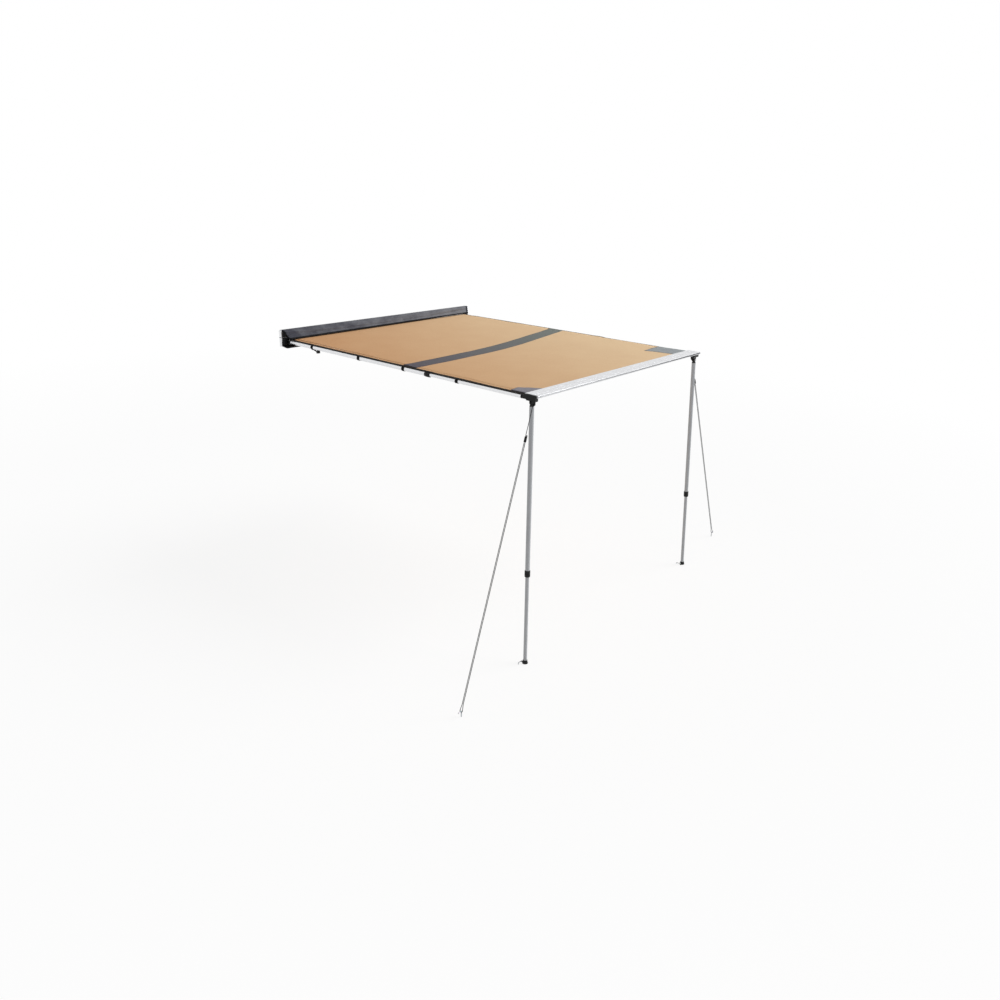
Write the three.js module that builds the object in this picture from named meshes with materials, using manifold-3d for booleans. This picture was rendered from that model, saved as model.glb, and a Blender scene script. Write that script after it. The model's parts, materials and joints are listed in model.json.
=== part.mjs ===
import * as THREE from 'three';
import { mergeVertices } from 'three/addons/utils/BufferGeometryUtils.js';
import Module from 'manifold-3d';

const wasm = await Module();
wasm.setup();

// Side awning for a vehicle's roof rack, pitched. Millimetres, Z up.
// The origin is the middle of the back board's rear face. The cloth reaches out along -Y.

// Fits and facets
const fitGap = 0.3;
const turnGap = 1;
const cutOver = 4;
const tubeSides = 16;
const pinSides = 12;
const wireSides = 8;
const roundSteps = 8;

// Layout of the pitched awning
const projection = 2500;
const groundDrop = 1804;
const railLength = 2006;
const armInset = 3;
const armDrop = 26;
const clothDrop = 5;

// Back board, an aluminium extrusion with two bolt tracks in its rear face
const boardPast = 55;
const boardHeight = 124;
const boardDepth = 28;
const boardWall = 2.5;
const boardWeb = 7;
const trackOffset = 38;
const trackMouth = 8.6;
const trackLip = 2.2;
const trackWidth = 14.5;
const trackDepth = 7;
const seamHeight = 8;
const seamWidth = 4;
const seamDepth = 1.6;
const ribReach = 10.5;
const ribHeight = 10;
const endCapThickness = 5.7;
const endCapRound = 3;
const endScrewRadius = 4;
const endScrewHead = 1.2;
const endScrewOffset = 52;

// Cloth, its side hems, its centre band and its corner patches
const clothThickness = 1.6;
const beadRadius = 2.2;
const beadGroove = 2.55;
const grooveMouth = 2.3;
const beadInset = 5.5;
const hemWidth = 22.7;
const trimThickness = 1.2;
const bandWidth = 138;
const bandShares = [[-1, 0.5256], [-0.124, 0.4956], [1, 0.424]];
const bandEndShares = [0.913, 1, 1.014];
const patchLeftShares = [[-1, 0.9072], [-0.9147, 0.9048], [-0.8244, 1]];
const patchRightShares = [[1, 0.858], [0.7533, 0.8636], [0.7949, 1]];

// Bag that is laced to the board: cover flap above and gutter panel below
const flapThickness = 2.4;
const flapInsetLeft = 31;
const flapInsetRight = 25;
const flapReachLeft = 104;
const flapReachRight = 50;
const flapSteps = 12;
const flapRaise = 2.2;
const flapCrown = 9;
const panelThickness = 2.2;
const panelInset = 10;
const panelRise = 14;
const panelLap = 13;
const panelSag = 4;
const panelReach = 116;
const panelLip = 11;

// Telescopic tubes, shared by arms and legs
const outerRadius = 15;
const outerBore = 13.4;
const innerRadius = 12.5;
const innerBore = 11.2;
const plugLength = 32;
const tubeOverlap = 150;
const collarRadius = 18.5;
const collarLength = 44;
const collarChamfer = 2.5;
const eyeRadius = 12;
const pinRadius = 4;
const pinHeadRadius = 7;
const pinHeadHeight = 3;

// Arms
const armPivotLeft = 54;
const armPivotRight = 106;
const armBladeHalf = 7;
const armShoulder = 20;
const armFlange = 4;
const armCollarShare = 0.6272;
const armTubeInset = 134;
const tongueFlange = 3;
const tongueInset = 96;
const tongueHalf = 8;
const tongueThickness = 5.6;
const bracketHalf = 22;
const bracketWeb = 6;
const bracketPlate = 6;
const bracketRadius = 14;
const bracketHeight = 33;
const boltHeadRadius = 3.6;
const boltHeadHeight = 3;
const boltSpread = 17;

// Straps that carry the cloth's edge on the arms
const strapWidth = 25;
const strapThickness = 1.6;
const strapEase = 0.5;
const strapTail = 24;
const strapLip = 8;
const strapShares = [0.138, 0.3504, 0.5352, 0.734];
const tieWidth = 15;
const tieThickness = 1.6;
const tieDrop = 8;
const tieReach = 48;
const buckleLength = 18;
const buckleWidth = 22;
const buckleHeight = 20;
const buckleWall = 3;

// Front rail and its moulded corners
const railDepth = 105;
const railHeight = 18;
const railWall = 2.2;
const railWeb = 3;
const railChamberStart = 14;
const railChamberSplit = 55;
const railNose = 18;
const railGrooveWidth = 3;
const railGrooveDepth = 1;
const railGrooveShares = [0.32, 0.66];
const cornerPlate = 9.7;
const cornerPlateDrop = 4;
const cornerPlateInset = 16;
const cornerPlateRound = 4;
const cornerPlugLength = 24;
const jawRearInset = 124;
const jawFrontInset = 89;
const jawHalf = 12;
const jawThickness = 4.6;
const jawWall = 4.6;
const cornerBlockBottom = 40;
const cornerBlockReach = 50;
const cornerBlockMargin = 11.4;
const cornerCheekReach = 14;
const cornerCheekInset = 18;
const earInset = 17;
const earForwardInsetLeft = 42;
const earForwardInsetRight = 60;
const earDrop = 60;
const earHalf = 10;
const earThickness = 5;
const earHoleRadius = 2.7;

// Legs
const legPivotReach = 32;
const legPivotDrop = 62;
const legPivotInsetLeft = 78;
const legPivotInsetRight = 30;
const footPastLeft = 54;
const footAheadLeft = 27;
const footPastRight = 46;
const footAheadRight = 40;
const legBladeHalf = 6;
const legShoulder = 18;
const legFlange = 3;
const legCollarShare = 0.633;
const lugThickness = 5;
const lugGap = 0.4;
const lugRadius = 12;
const footRadius = 19;
const footNeckRadius = 15.4;
const footHeight = 24;
const footBase = 12;
const footFlare = 18;
const footEarReach = 24;
const footEarHalf = 6.4;
const footEarThickness = 4;
const footEarRaise = 1.5;
const stapleRadius = 2.75;
const stapleSpan = 40;
const stapleDepth = 53;
const stapleBend = 5;

// Guy ropes, runners and pegs
const ropeRadius = 2;
const knotRadius = 4.5;
const ropeLeave = 6;
const ropeLeaveBend = 8;
const loopRadius = 8;
const loopNeck = 45;
const runnerDown = 212;
const runnerLength = 34;
const runnerWidth = 17;
const runnerThickness = 11;
const runnerHoleRadius = 2.5;
const runnerHoleSpacing = 7;
const loopPastLeft = 769;
const loopAheadLeft = 114;
const loopPastRight = 766;
const loopAheadRight = -54;
const loopHeight = 35;
const pegRadius = 3.5;
const pegAbove = 43;
const pegBelow = 200;
const pegTip = 14;
const pegBend = 8;
const pegArm = 34;

// Sizes that follow from those above
const armOffset = railLength / 2 - armInset;
const boardHalf = armOffset + boardPast;
const panelHalf = boardHalf - panelInset;
const armCollarAt = armCollarShare * projection;
const armTubeEnd = projection - armTubeInset;
const tongueEnd = projection - tongueInset;
const strapPlaces = strapShares.map((share) => share * projection);
const hemOuter = armOffset - outerRadius;
const clothHalf = hemOuter - hemWidth - fitGap;
const railRear = projection - railDepth;
const railHalf = railLength / 2;
const clothTop = -clothDrop + clothThickness / 2;
const clothUnder = -clothDrop - clothThickness / 2;
const trimUnder = clothTop + fitGap;
const innerRearBore = innerRadius + turnGap;
const outerRearBore = outerRadius + turnGap;
const pinBore = pinRadius + fitGap;

const materials = {
  board: { color: 0xc9cbcd, roughness: 0.38, metalness: 0.9 },
  silver: { color: 0xdcdde0, roughness: 0.32, metalness: 0.9 },
  tube: { color: 0xb4b6ba, roughness: 0.35, metalness: 0.9 },
  leg: { color: 0x93959a, roughness: 0.4, metalness: 0.9 },
  steel: { color: 0xa8abb0, roughness: 0.3, metalness: 1 },
  black: { color: 0x18181a, roughness: 0.55, metalness: 0 },
  cloth: { color: 0xc8a57a, roughness: 0.85, metalness: 0 },
  slate: { color: 0x62646f, roughness: 0.85, metalness: 0 },
  patch: { color: 0x8a8b92, roughness: 0.85, metalness: 0 },
  hem: { color: 0x2c2622, roughness: 0.9, metalness: 0 },
  webbing: { color: 0x1c1c1e, roughness: 0.9, metalness: 0 },
  gutter: { color: 0x202124, roughness: 0.8, metalness: 0 },
  ropeDark: { color: 0x232326, roughness: 0.9, metalness: 0 },
  ropeGrey: { color: 0x6c6e72, roughness: 0.9, metalness: 0 },
};

const awning = new THREE.Group();

// Signed volume, positive where the faces look out
function signedVolume(geometry) {
  const place = geometry.attributes.position;
  const index = geometry.index.array;
  const a = new THREE.Vector3();
  const b = new THREE.Vector3();
  const c = new THREE.Vector3();
  let sum = 0;
  for (let i = 0; i < index.length; i += 3) {
    a.fromBufferAttribute(place, index[i]);
    b.fromBufferAttribute(place, index[i + 1]);
    c.fromBufferAttribute(place, index[i + 2]);
    sum += a.dot(b.cross(c));
  }
  return sum / 6;
}

// Turns every face over when they look inwards
function facesOut(geometry) {
  if (signedVolume(geometry) < 0) {
    const index = Array.from(geometry.index.array);
    for (let i = 0; i < index.length; i += 3) {
      [index[i + 1], index[i + 2]] = [index[i + 2], index[i + 1]];
    }
    geometry.setIndex(index);
  }
  return geometry;
}

// One closed skin: shared corners merged, flat triangles dropped
function weld(source) {
  const bare = source.clone();
  bare.deleteAttribute('normal');
  bare.deleteAttribute('uv');
  const merged = mergeVertices(bare);
  const index = merged.index.array;
  const kept = [];
  for (let i = 0; i < index.length; i += 3) {
    const [a, b, c] = [index[i], index[i + 1], index[i + 2]];
    if (a !== b && b !== c && c !== a) {
      kept.push(a, b, c);
    }
  }
  merged.setIndex(kept);
  merged.clearGroups();
  return facesOut(merged);
}

function toSolid(geometry) {
  const vertProperties = new Float32Array(geometry.attributes.position.array);
  const triVerts = new Uint32Array(geometry.index.array);
  return new wasm.Manifold(new wasm.Mesh({ numProp: 3, vertProperties, triVerts }));
}

function toGeometry(solid) {
  const mesh = solid.getMesh();
  const geometry = new THREE.BufferGeometry();
  geometry.setAttribute('position', new THREE.BufferAttribute(new Float32Array(mesh.vertProperties), 3));
  geometry.setIndex(new THREE.BufferAttribute(new Uint32Array(mesh.triVerts), 1));
  return geometry;
}

function join(...parts) {
  return toGeometry(parts.map(toSolid).reduce((whole, part) => whole.add(part)));
}

function cut(base, ...tools) {
  return toGeometry(tools.map(toSolid).reduce((whole, tool) => whole.subtract(tool), toSolid(base)));
}

function placed(geometry, matrix) {
  return facesOut(geometry.clone().applyMatrix4(matrix));
}

function basis(x, y, z, origin = new THREE.Vector3()) {
  return new THREE.Matrix4().makeBasis(x, y, z).setPosition(origin);
}

const axisX = new THREE.Vector3(1, 0, 0);
const axisY = new THREE.Vector3(0, 1, 0);
const axisZ = new THREE.Vector3(0, 0, 1);

function outline(points) {
  return new THREE.Shape(points.map(([u, v]) => new THREE.Vector2(u, v)));
}

function extruded(points, depth, steps = 1) {
  return weld(new THREE.ExtrudeGeometry(outline(points), { depth, steps, bevelEnabled: false }));
}

// Outline in Y and Z, drawn out along X
function alongX(points, from, to, steps = 1) {
  const origin = new THREE.Vector3(from, 0, 0);
  return placed(extruded(points, to - from, steps), basis(axisY, axisZ, axisX, origin));
}

// Outline in X and Z, drawn out along Y
function alongY(points, from, to) {
  const origin = new THREE.Vector3(0, from, 0);
  return placed(extruded(points, to - from), basis(axisX, axisZ, axisY, origin));
}

// Outline in X and Y, drawn out along Z
function alongZ(points, from, to) {
  const origin = new THREE.Vector3(0, 0, from);
  return placed(extruded(points, to - from), basis(axisX, axisY, axisZ, origin));
}

function block([x0, x1], [y0, y1], [z0, z1]) {
  const box = new THREE.BoxGeometry(Math.abs(x1 - x0), Math.abs(y1 - y0), Math.abs(z1 - z0));
  box.translate((x0 + x1) / 2, (y0 + y1) / 2, (z0 + z1) / 2);
  return weld(box);
}

function arc(u, v, radius, start, end, steps) {
  const points = [];
  for (let i = 0; i <= steps; i += 1) {
    const angle = start + (end - start) * (i / steps);
    points.push([u + radius * Math.cos(angle), v + radius * Math.sin(angle)]);
  }
  return points;
}

// Ring or rod turned about Z from a closed profile of radius and height
function turned(profile, sides = tubeSides) {
  const points = [...profile, profile[0]].map(([r, z]) => new THREE.Vector2(r, z));
  const upright = new THREE.Matrix4().makeRotationX(Math.PI / 2);
  return placed(weld(new THREE.LatheGeometry(points, sides)), upright);
}

function rod(radius, from, to, sides = tubeSides) {
  return turned([[0, from], [radius, from], [radius, to], [0, to]], sides);
}

function pipe(outer, bore, from, to) {
  return turned([[bore, from], [outer, from], [outer, to], [bore, to]]);
}

// Skin over closed sections in Y and Z, that all have the same number of points, from the left to the right
function lofted(sections) {
  const count = sections[0].length;
  const flat = sections[0].map(({ y, z }) => new THREE.Vector2(y, z));
  if (THREE.ShapeUtils.isClockWise(flat)) {
    return lofted(sections.map((section) => [...section].reverse()));
  }
  const last = (sections.length - 1) * count;
  const index = [];
  THREE.ShapeUtils.triangulateShape(flat, []).forEach(([a, b, c]) => {
    index.push(c, b, a, last + a, last + b, last + c);
  });
  for (let i = 0; i < last; i += count) {
    for (let j = 0; j < count; j += 1) {
      const k = (j + 1) % count;
      index.push(i + j, i + k, i + count + j, i + k, i + count + k, i + count + j);
    }
  }
  const geometry = new THREE.BufferGeometry().setFromPoints(sections.flat());
  geometry.setIndex(index);
  return facesOut(geometry);
}

const zToX = new THREE.Matrix4().makeRotationY(Math.PI / 2);
const zToY = new THREE.Matrix4().makeRotationX(-Math.PI / 2);

function at(geometry, x, y, z) {
  return placed(geometry, new THREE.Matrix4().makeTranslation(x, y, z));
}

// Band of even thickness along a line of points
function strip(points, thickness) {
  const near = [];
  const far = [];
  points.forEach(([u, v], i) => {
    const [bu, bv] = points[Math.max(i - 1, 0)];
    const [cu, cv] = points[Math.min(i + 1, points.length - 1)];
    const before = new THREE.Vector2(-(v - bv), u - bu);
    const after = new THREE.Vector2(-(cv - v), cu - u);
    const first = i === 0 ? after.clone() : before.clone();
    const last = i === points.length - 1 ? before.clone() : after.clone();
    first.normalize();
    last.normalize();
    const middle = first.clone().add(last).normalize();
    const reach = thickness / 2 / middle.dot(first);
    near.push([u + middle.x * reach, v + middle.y * reach]);
    far.push([u - middle.x * reach, v - middle.y * reach]);
  });
  return [...near, ...far.reverse()];
}

// Line through given points, sampled exactly at them
class Route extends THREE.Curve {
  constructor(points) {
    super();
    this.points = points;
  }

  getPoint(t, target = new THREE.Vector3()) {
    const spans = this.points.length - 1;
    const i = Math.min(Math.floor(t * spans + Number.EPSILON * spans), spans - 1);
    return target.lerpVectors(this.points[i], this.points[i + 1], t * spans - i);
  }

  getUtoTmapping(u) {
    return u;
  }

  getTangent(t, target = new THREE.Vector3()) {
    const last = this.points.length - 1;
    const i = Math.round(t * last);
    const before = this.points[Math.max(i - 1, 0)];
    const after = this.points[Math.min(i + 1, last)];
    const here = this.points[i];
    const come = here.clone().sub(before).normalize();
    const go = after.clone().sub(here).normalize();
    return target.copy(come).add(go).normalize();
  }
}

function swept(points, radius, sides = wireSides) {
  const section = outline(arc(0, 0, radius, 0, 2 * Math.PI * (1 - 1 / sides), sides - 1));
  const extrudePath = new Route(points);
  const options = { steps: points.length - 1, bevelEnabled: false, extrudePath };
  return weld(new THREE.ExtrudeGeometry(section, options));
}

// Rounded corner between two straight runs
function bend(before, corner, after, radius, steps) {
  const come = before.clone().sub(corner).normalize();
  const go = after.clone().sub(corner).normalize();
  const half = come.angleTo(go) / 2;
  const toCentre = come.clone().add(go).normalize();
  const centre = corner.clone().addScaledVector(toCentre, radius / Math.sin(half));
  const start = corner.clone().addScaledVector(come, radius / Math.tan(half)).sub(centre);
  const end = corner.clone().addScaledVector(go, radius / Math.tan(half)).sub(centre);
  const turn = start.angleTo(end);
  const axis = start.clone().cross(end).normalize();
  const points = [];
  for (let i = 0; i <= steps; i += 1) {
    points.push(start.clone().applyAxisAngle(axis, turn * (i / steps)).add(centre));
  }
  return points;
}

function ball(centre, radius) {
  return at(weld(new THREE.SphereGeometry(radius, 10, 6)), centre.x, centre.y, centre.z);
}

function add(parent, name, geometry, look) {
  geometry.computeVertexNormals();
  const mesh = new THREE.Mesh(geometry, new THREE.MeshStandardMaterial(materials[look]));
  mesh.name = name;
  parent.add(mesh);
  return mesh;
}

// Outline in plan, given for the right side and mirrored for the left
function onSide(geometry, sign) {
  return placed(geometry, new THREE.Matrix4().makeScale(sign, 1, 1));
}

// Back board
function backBoard() {
  const half = boardHalf - endCapThickness - fitGap;
  const past = half + cutOver;
  const top = boardHeight / 2;
  const body = block([-half, half], [0, -boardDepth], [-top, top]);
  const ribTop = -clothDrop + ribHeight / 2;
  const rib = block([-clothHalf, clothHalf], [-boardDepth + boardWall, -boardDepth - ribReach],
    [ribTop - ribHeight, ribTop]);
  const tools = [];
  for (const side of [-1, 1]) {
    const middle = side * trackOffset;
    const mouth = [middle - trackMouth / 2, middle + trackMouth / 2];
    const cavity = [middle - trackWidth / 2, middle + trackWidth / 2];
    tools.push(block([-past, past], [cutOver, -trackLip - trackDepth / 2], mouth));
    tools.push(block([-past, past], [-trackLip, -trackLip - trackDepth], cavity));
  }
  const chamberRear = -trackLip - trackDepth - boardWall;
  const chamberFront = -boardDepth + boardWall;
  const webTop = seamHeight + boardWeb / 2;
  const webBottom = seamHeight - boardWeb / 2;
  tools.push(block([-past, past], [chamberRear, chamberFront], [webTop, top - boardWall]));
  tools.push(block([-past, past], [chamberRear, chamberFront], [boardWall - top, webBottom]));
  const seamTop = seamHeight + seamWidth / 2;
  const seamBottom = seamHeight - seamWidth / 2;
  const seam = [[-boardDepth - cutOver, seamTop], [-boardDepth, seamTop],
    [-boardDepth + seamDepth, seamHeight], [-boardDepth, seamBottom], [-boardDepth - cutOver, seamBottom]];
  tools.push(alongX(seam, -past, past));
  const groove = placed(rod(beadGroove, -past, past, pinSides), zToX);
  tools.push(at(groove, 0, -boardDepth - beadInset, -clothDrop));
  tools.push(block([-past, past], [-boardDepth - beadInset, -boardDepth - ribReach - cutOver],
    [-clothDrop - grooveMouth / 2, -clothDrop + grooveMouth / 2]));
  return cut(join(body, rib), ...tools);
}

function endCap(sign) {
  const top = boardHeight / 2;
  const r = endCapRound;
  const q = Math.PI / 2;
  const points = [
    ...arc(-r, top - r, r, 0, q, 3),
    ...arc(-boardDepth + r, top - r, r, q, 2 * q, 3),
    [-boardDepth, seamHeight + seamWidth / 2],
    [-boardDepth + seamDepth, seamHeight],
    [-boardDepth, seamHeight - seamWidth / 2],
    ...arc(-boardDepth + r, r - top, r, 2 * q, 3 * q, 3),
    ...arc(-r, r - top, r, 3 * q, 4 * q, 3),
  ];
  const plate = alongX(points, boardHalf - endCapThickness, boardHalf);
  const screw = rod(endScrewRadius, boardHalf - endCapThickness / 2, boardHalf + endScrewHead, pinSides);
  const head = placed(screw, zToX);
  const heads = [-1, 1].map((side) => at(head, 0, -boardDepth / 2, side * endScrewOffset));
  return onSide(join(plate, ...heads), sign);
}

add(awning, 'back_board', backBoard(), 'board');
add(awning, 'board_end_cap_left', endCap(-1), 'board');
add(awning, 'board_end_cap_right', endCap(1), 'board');

// Cover flap of the bag: over the board's top edge and forward to its hem, which runs closer at the right
function coverFlap() {
  const top = boardHeight / 2 + fitGap + flapThickness / 2;
  const left = flapInsetLeft - boardHalf;
  const right = boardHalf - flapInsetRight;
  const sections = [];
  for (let i = 0; i <= flapSteps; i += 1) {
    const along = i / flapSteps;
    const reach = THREE.MathUtils.lerp(flapReachLeft, flapReachRight, along);
    const span = reach - boardDepth;
    const line = [
      [-boardWall, top],
      [-boardDepth - fitGap - flapThickness / 2, top],
      [-boardDepth - span / 4, top - flapCrown],
      [-boardDepth - span / 2, top / 2 + flapCrown / 2],
      [-boardDepth - span * 7 / 8, flapCrown + flapRaise],
      [-reach, flapRaise],
    ];
    const x = THREE.MathUtils.lerp(left, right, along);
    sections.push(strip(line, flapThickness).map(([u, v]) => new THREE.Vector3(x, u, v)));
  }
  return lofted(sections);
}

// Gutter panel of the bag, from the board's lower edge forward under the arms
function gutterPanel() {
  const back = -boardDepth - fitGap - panelThickness / 2;
  const span = panelReach - boardDepth;
  const foot = -boardHeight / 2;
  const line = [
    [back, foot + panelRise],
    [back, foot + panelRise - panelLap],
    [-boardDepth - span / 6, foot - panelSag + panelThickness],
    [-boardDepth - span / 2, foot - panelSag],
    [-boardDepth - span * 3 / 4, foot - panelSag + panelThickness],
    [-panelReach, foot + panelLip],
  ];
  return alongX(strip(line, panelThickness), -panelHalf, panelHalf);
}

add(awning, 'bag_cover_flap', coverFlap(), 'slate');
add(awning, 'bag_lower_panel', gutterPanel(), 'gutter');

// Cloth, with a bead along its rear and front edges
function canopy() {
  const rear = -boardDepth - beadInset;
  const front = -railRear - beadInset;
  const slip = Math.asin(clothThickness / 2 / beadRadius);
  const turn = 2 * Math.PI;
  const points = [
    ...arc(rear, -clothDrop, beadRadius, Math.PI + slip, Math.PI + turn - slip, roundSteps),
    ...arc(front, -clothDrop, beadRadius, slip, turn - slip, roundSteps),
  ];
  return alongX(points, -clothHalf, clothHalf);
}

function sideHem(sign) {
  const rear = -boardDepth - ribReach - fitGap;
  const front = -railRear + fitGap;
  return onSide(block([clothHalf + fitGap, hemOuter], [rear, front], [clothUnder, clothTop]), sign);
}

function centreBand() {
  const rear = bandShares.map(([x, y]) => [x * hemOuter, -y * projection]);
  const front = rear.map(([x, y], i) => [x, y - bandWidth * bandEndShares[i]]).reverse();
  return alongZ([...rear, ...front], trimUnder, trimUnder + trimThickness);
}

function cornerPatch(shares) {
  const reach = railRear - fitGap;
  const points = shares.map(([x, y]) => [x * hemOuter, -Math.min(y * projection, reach)]);
  const outer = Math.sign(points[0][0]) * hemOuter;
  return alongZ([...points, [outer, -reach]], trimUnder, trimUnder + trimThickness);
}

add(awning, 'canopy', canopy(), 'cloth');
add(awning, 'canopy_centre_band', centreBand(), 'slate');
add(awning, 'corner_patch_left', cornerPatch(patchLeftShares), 'patch');
add(awning, 'corner_patch_right', cornerPatch(patchRightShares), 'patch');
add(awning, 'side_hem_left', sideHem(-1), 'hem');
add(awning, 'side_hem_right', sideHem(1), 'hem');

// Strap round an arm, open towards the middle of the awning so that the arm can swing out of it
function armStrap(sign, forward, tubeRadius) {
  const r = tubeRadius + strapEase + strapThickness / 2;
  const line = [
    [-strapTail, r],
    ...arc(0, 0, r, Math.PI / 2, -Math.PI / 2, roundSteps),
    [-strapLip, -r],
  ];
  const loop = alongY(strip(line, strapThickness), -strapWidth / 2, strapWidth / 2);
  const seat = clothUnder - fitGap + armDrop;
  const riser = block([-strapTail, hemOuter - armOffset - fitGap], [-strapWidth / 2, strapWidth / 2],
    [r, seat]);
  return onSide(at(join(loop, riser), armOffset, -forward, -armDrop), sign);
}

// Tie strap that hangs from the first arm strap, and its buckle
const strapUnder = -armDrop - outerRadius - strapEase - strapThickness;
const tieTop = strapUnder - fitGap - tieThickness / 2;
const tieEnd = strapPlaces[0] + tieReach;

function tieStrap(sign) {
  const start = strapPlaces[0] - strapWidth / 2;
  const line = [[-start, tieTop], [-start - strapWidth, tieTop], [-tieEnd, tieTop - tieDrop]];
  const tie = alongX(strip(line, tieThickness), armOffset - tieWidth / 2, armOffset + tieWidth / 2);
  return onSide(tie, sign);
}

function tieBuckle(sign) {
  const rear = -tieEnd - fitGap - tieThickness / 2;
  const middle = tieTop - tieDrop;
  const low = middle - buckleHeight / 2;
  const high = middle + buckleHeight / 2;
  const frame = block([armOffset - buckleWidth / 2, armOffset + buckleWidth / 2],
    [rear, rear - buckleLength], [low, high]);
  const slotHalf = buckleWidth / 2 - buckleWall;
  const slot = block([armOffset - slotHalf, armOffset + slotHalf],
    [rear - buckleWall, rear - buckleLength + buckleWall], [low - cutOver, high + cutOver]);
  return onSide(cut(frame, slot), sign);
}

// Bracket on the board's front that holds an arm's pin
function armBracket(sign, pivot) {
  const web = block([-bracketHalf, bracketHalf], [-boardDepth - fitGap, -boardDepth - fitGap - bracketWeb],
    [-bracketHeight / 2, bracketHeight / 2]);
  const low = armBladeHalf + fitGap;
  const shape = [[bracketRadius, -boardDepth - bracketWeb / 2],
    [-bracketRadius, -boardDepth - bracketWeb / 2],
    ...arc(0, -pivot, bracketRadius, Math.PI, 2 * Math.PI, roundSteps)];
  const plates = [alongZ(shape, low, low + bracketPlate), alongZ(shape, -low - bracketPlate, -low)];
  const head = placed(rod(boltHeadRadius, 0, boltHeadHeight + bracketWeb / 2, pinSides), zToY);
  const face = -boardDepth - fitGap - bracketWeb - boltHeadHeight;
  const heads = [-1, 1].map((side) => at(head, side * boltSpread, face, 0));
  const bore = at(rod(pinBore, -bracketHeight, bracketHeight, pinSides), 0, -pivot, 0);
  return at(cut(join(web, ...plates, ...heads), bore), sign * armOffset, 0, -armDrop);
}

// Pin with a head at both ends, along Z, with its middle at the origin
function headedPin(half) {
  const h = half + fitGap;
  const e = h + pinHeadHeight;
  return turned([[0, -e], [pinHeadRadius, -e], [pinHeadRadius, -h], [pinRadius, -h], [pinRadius, h],
    [pinHeadRadius, h], [pinHeadRadius, e], [0, e]], pinSides);
}

// Eye that plugs a tube's end. The pin runs along Y through the origin, and the tube lies along Z
function eyePlug(bladeHalf, shoulder, flange) {
  const shape = [...arc(0, 0, eyeRadius, Math.PI, 2 * Math.PI, roundSteps),
    [eyeRadius, shoulder + flange / 2], [-eyeRadius, shoulder + flange / 2]];
  const blade = alongY(shape, -bladeHalf, bladeHalf);
  const end = shoulder + flange;
  const collar = turned([[0, shoulder], [outerRadius, shoulder], [outerRadius, end],
    [outerBore - fitGap - fitGap / 2, end], [outerBore - fitGap - fitGap / 2, end + plugLength],
    [0, end + plugLength]]);
  const bore = placed(rod(pinBore, -bladeHalf - cutOver, bladeHalf + cutOver, pinSides), zToY);
  return cut(join(blade, collar), bore);
}

// Twist lock collar over the end of the outer tube, with its middle at the given place
function lockCollar(middle) {
  const half = collarLength / 2;
  const c = collarChamfer;
  return turned([
    [outerRearBore, middle - half],
    [collarRadius - c, middle - half],
    [collarRadius, middle - half + c],
    [collarRadius, middle + half - c],
    [collarRadius - c, middle + half],
    [innerRearBore, middle + half],
    [innerRearBore, middle],
    [outerRearBore, middle],
  ]);
}

// Tongue that plugs the front tube and lies in the rail corner's jaw
function armTongue(tubeEnd, tipEnd) {
  const stem = innerBore - fitGap - fitGap / 2;
  const flangeEnd = tubeEnd + fitGap + tongueFlange;
  const plug = turned([[0, tubeEnd - plugLength], [stem, tubeEnd - plugLength], [stem, tubeEnd + fitGap],
    [innerRadius, tubeEnd + fitGap], [innerRadius, flangeEnd], [0, flangeEnd]]);
  const tip = tipEnd - tongueHalf;
  const shape = [[tongueHalf, tubeEnd], ...arc(0, tip, tongueHalf, 0, Math.PI, roundSteps),
    [-tongueHalf, tubeEnd]];
  return join(plug, alongY(shape, -tongueThickness / 2, tongueThickness / 2));
}

function buildArm(name, sign, pivot) {
  const arm = new THREE.Group();
  arm.position.set(sign * armOffset, -pivot, -armDrop);
  arm.rotation.x = Math.PI / 2;
  const start = armShoulder + armFlange + fitGap;
  const middle = armCollarAt - pivot;
  add(arm, `arm_eye_${name}`, eyePlug(armBladeHalf, armShoulder, armFlange), 'black');
  add(arm, `arm_rear_tube_${name}`, pipe(outerRadius, outerBore, start, middle - fitGap), 'tube');
  add(arm, `arm_lock_collar_${name}`, lockCollar(middle), 'black');
  const tubeEnd = armTubeEnd - pivot;
  add(arm, `arm_front_tube_${name}`, pipe(innerRadius, innerBore, middle - tubeOverlap, tubeEnd), 'tube');
  add(arm, `arm_tongue_${name}`, armTongue(tubeEnd, tongueEnd - pivot), 'black');
  awning.add(arm);
  add(awning, `arm_bracket_${name}`, armBracket(sign, pivot), 'black');
  const pin = headedPin(armBladeHalf + fitGap + bracketPlate);
  add(awning, `arm_pin_${name}`, at(pin, sign * armOffset, -pivot, -armDrop), 'steel');
  strapPlaces.forEach((forward, i) => {
    const radius = forward < armCollarAt ? outerRadius : innerRadius;
    add(awning, `arm_strap_${name}_${i + 1}`, armStrap(sign, forward, radius), 'webbing');
  });
  add(awning, `tie_strap_${name}`, tieStrap(sign), 'webbing');
  add(awning, `tie_buckle_${name}`, tieBuckle(sign), 'black');
}

buildArm('left', -1, armPivotLeft);
buildArm('right', 1, armPivotRight);

// Front rail
const railRound = railHeight / 2;
const railShape = [
  [-railRear, 0],
  ...arc(-projection + railRound, -railRound, railRound, Math.PI / 2, 3 * Math.PI / 2, roundSteps),
  [-railRear, -railHeight],
];

// Hollow chambers of the rail, as distances forward
function railChambers() {
  const split = railRear + railChamberSplit;
  return [[railRear + railChamberStart, split - railWeb / 2], [split + railWeb / 2, projection - railNose]];
}

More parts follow.
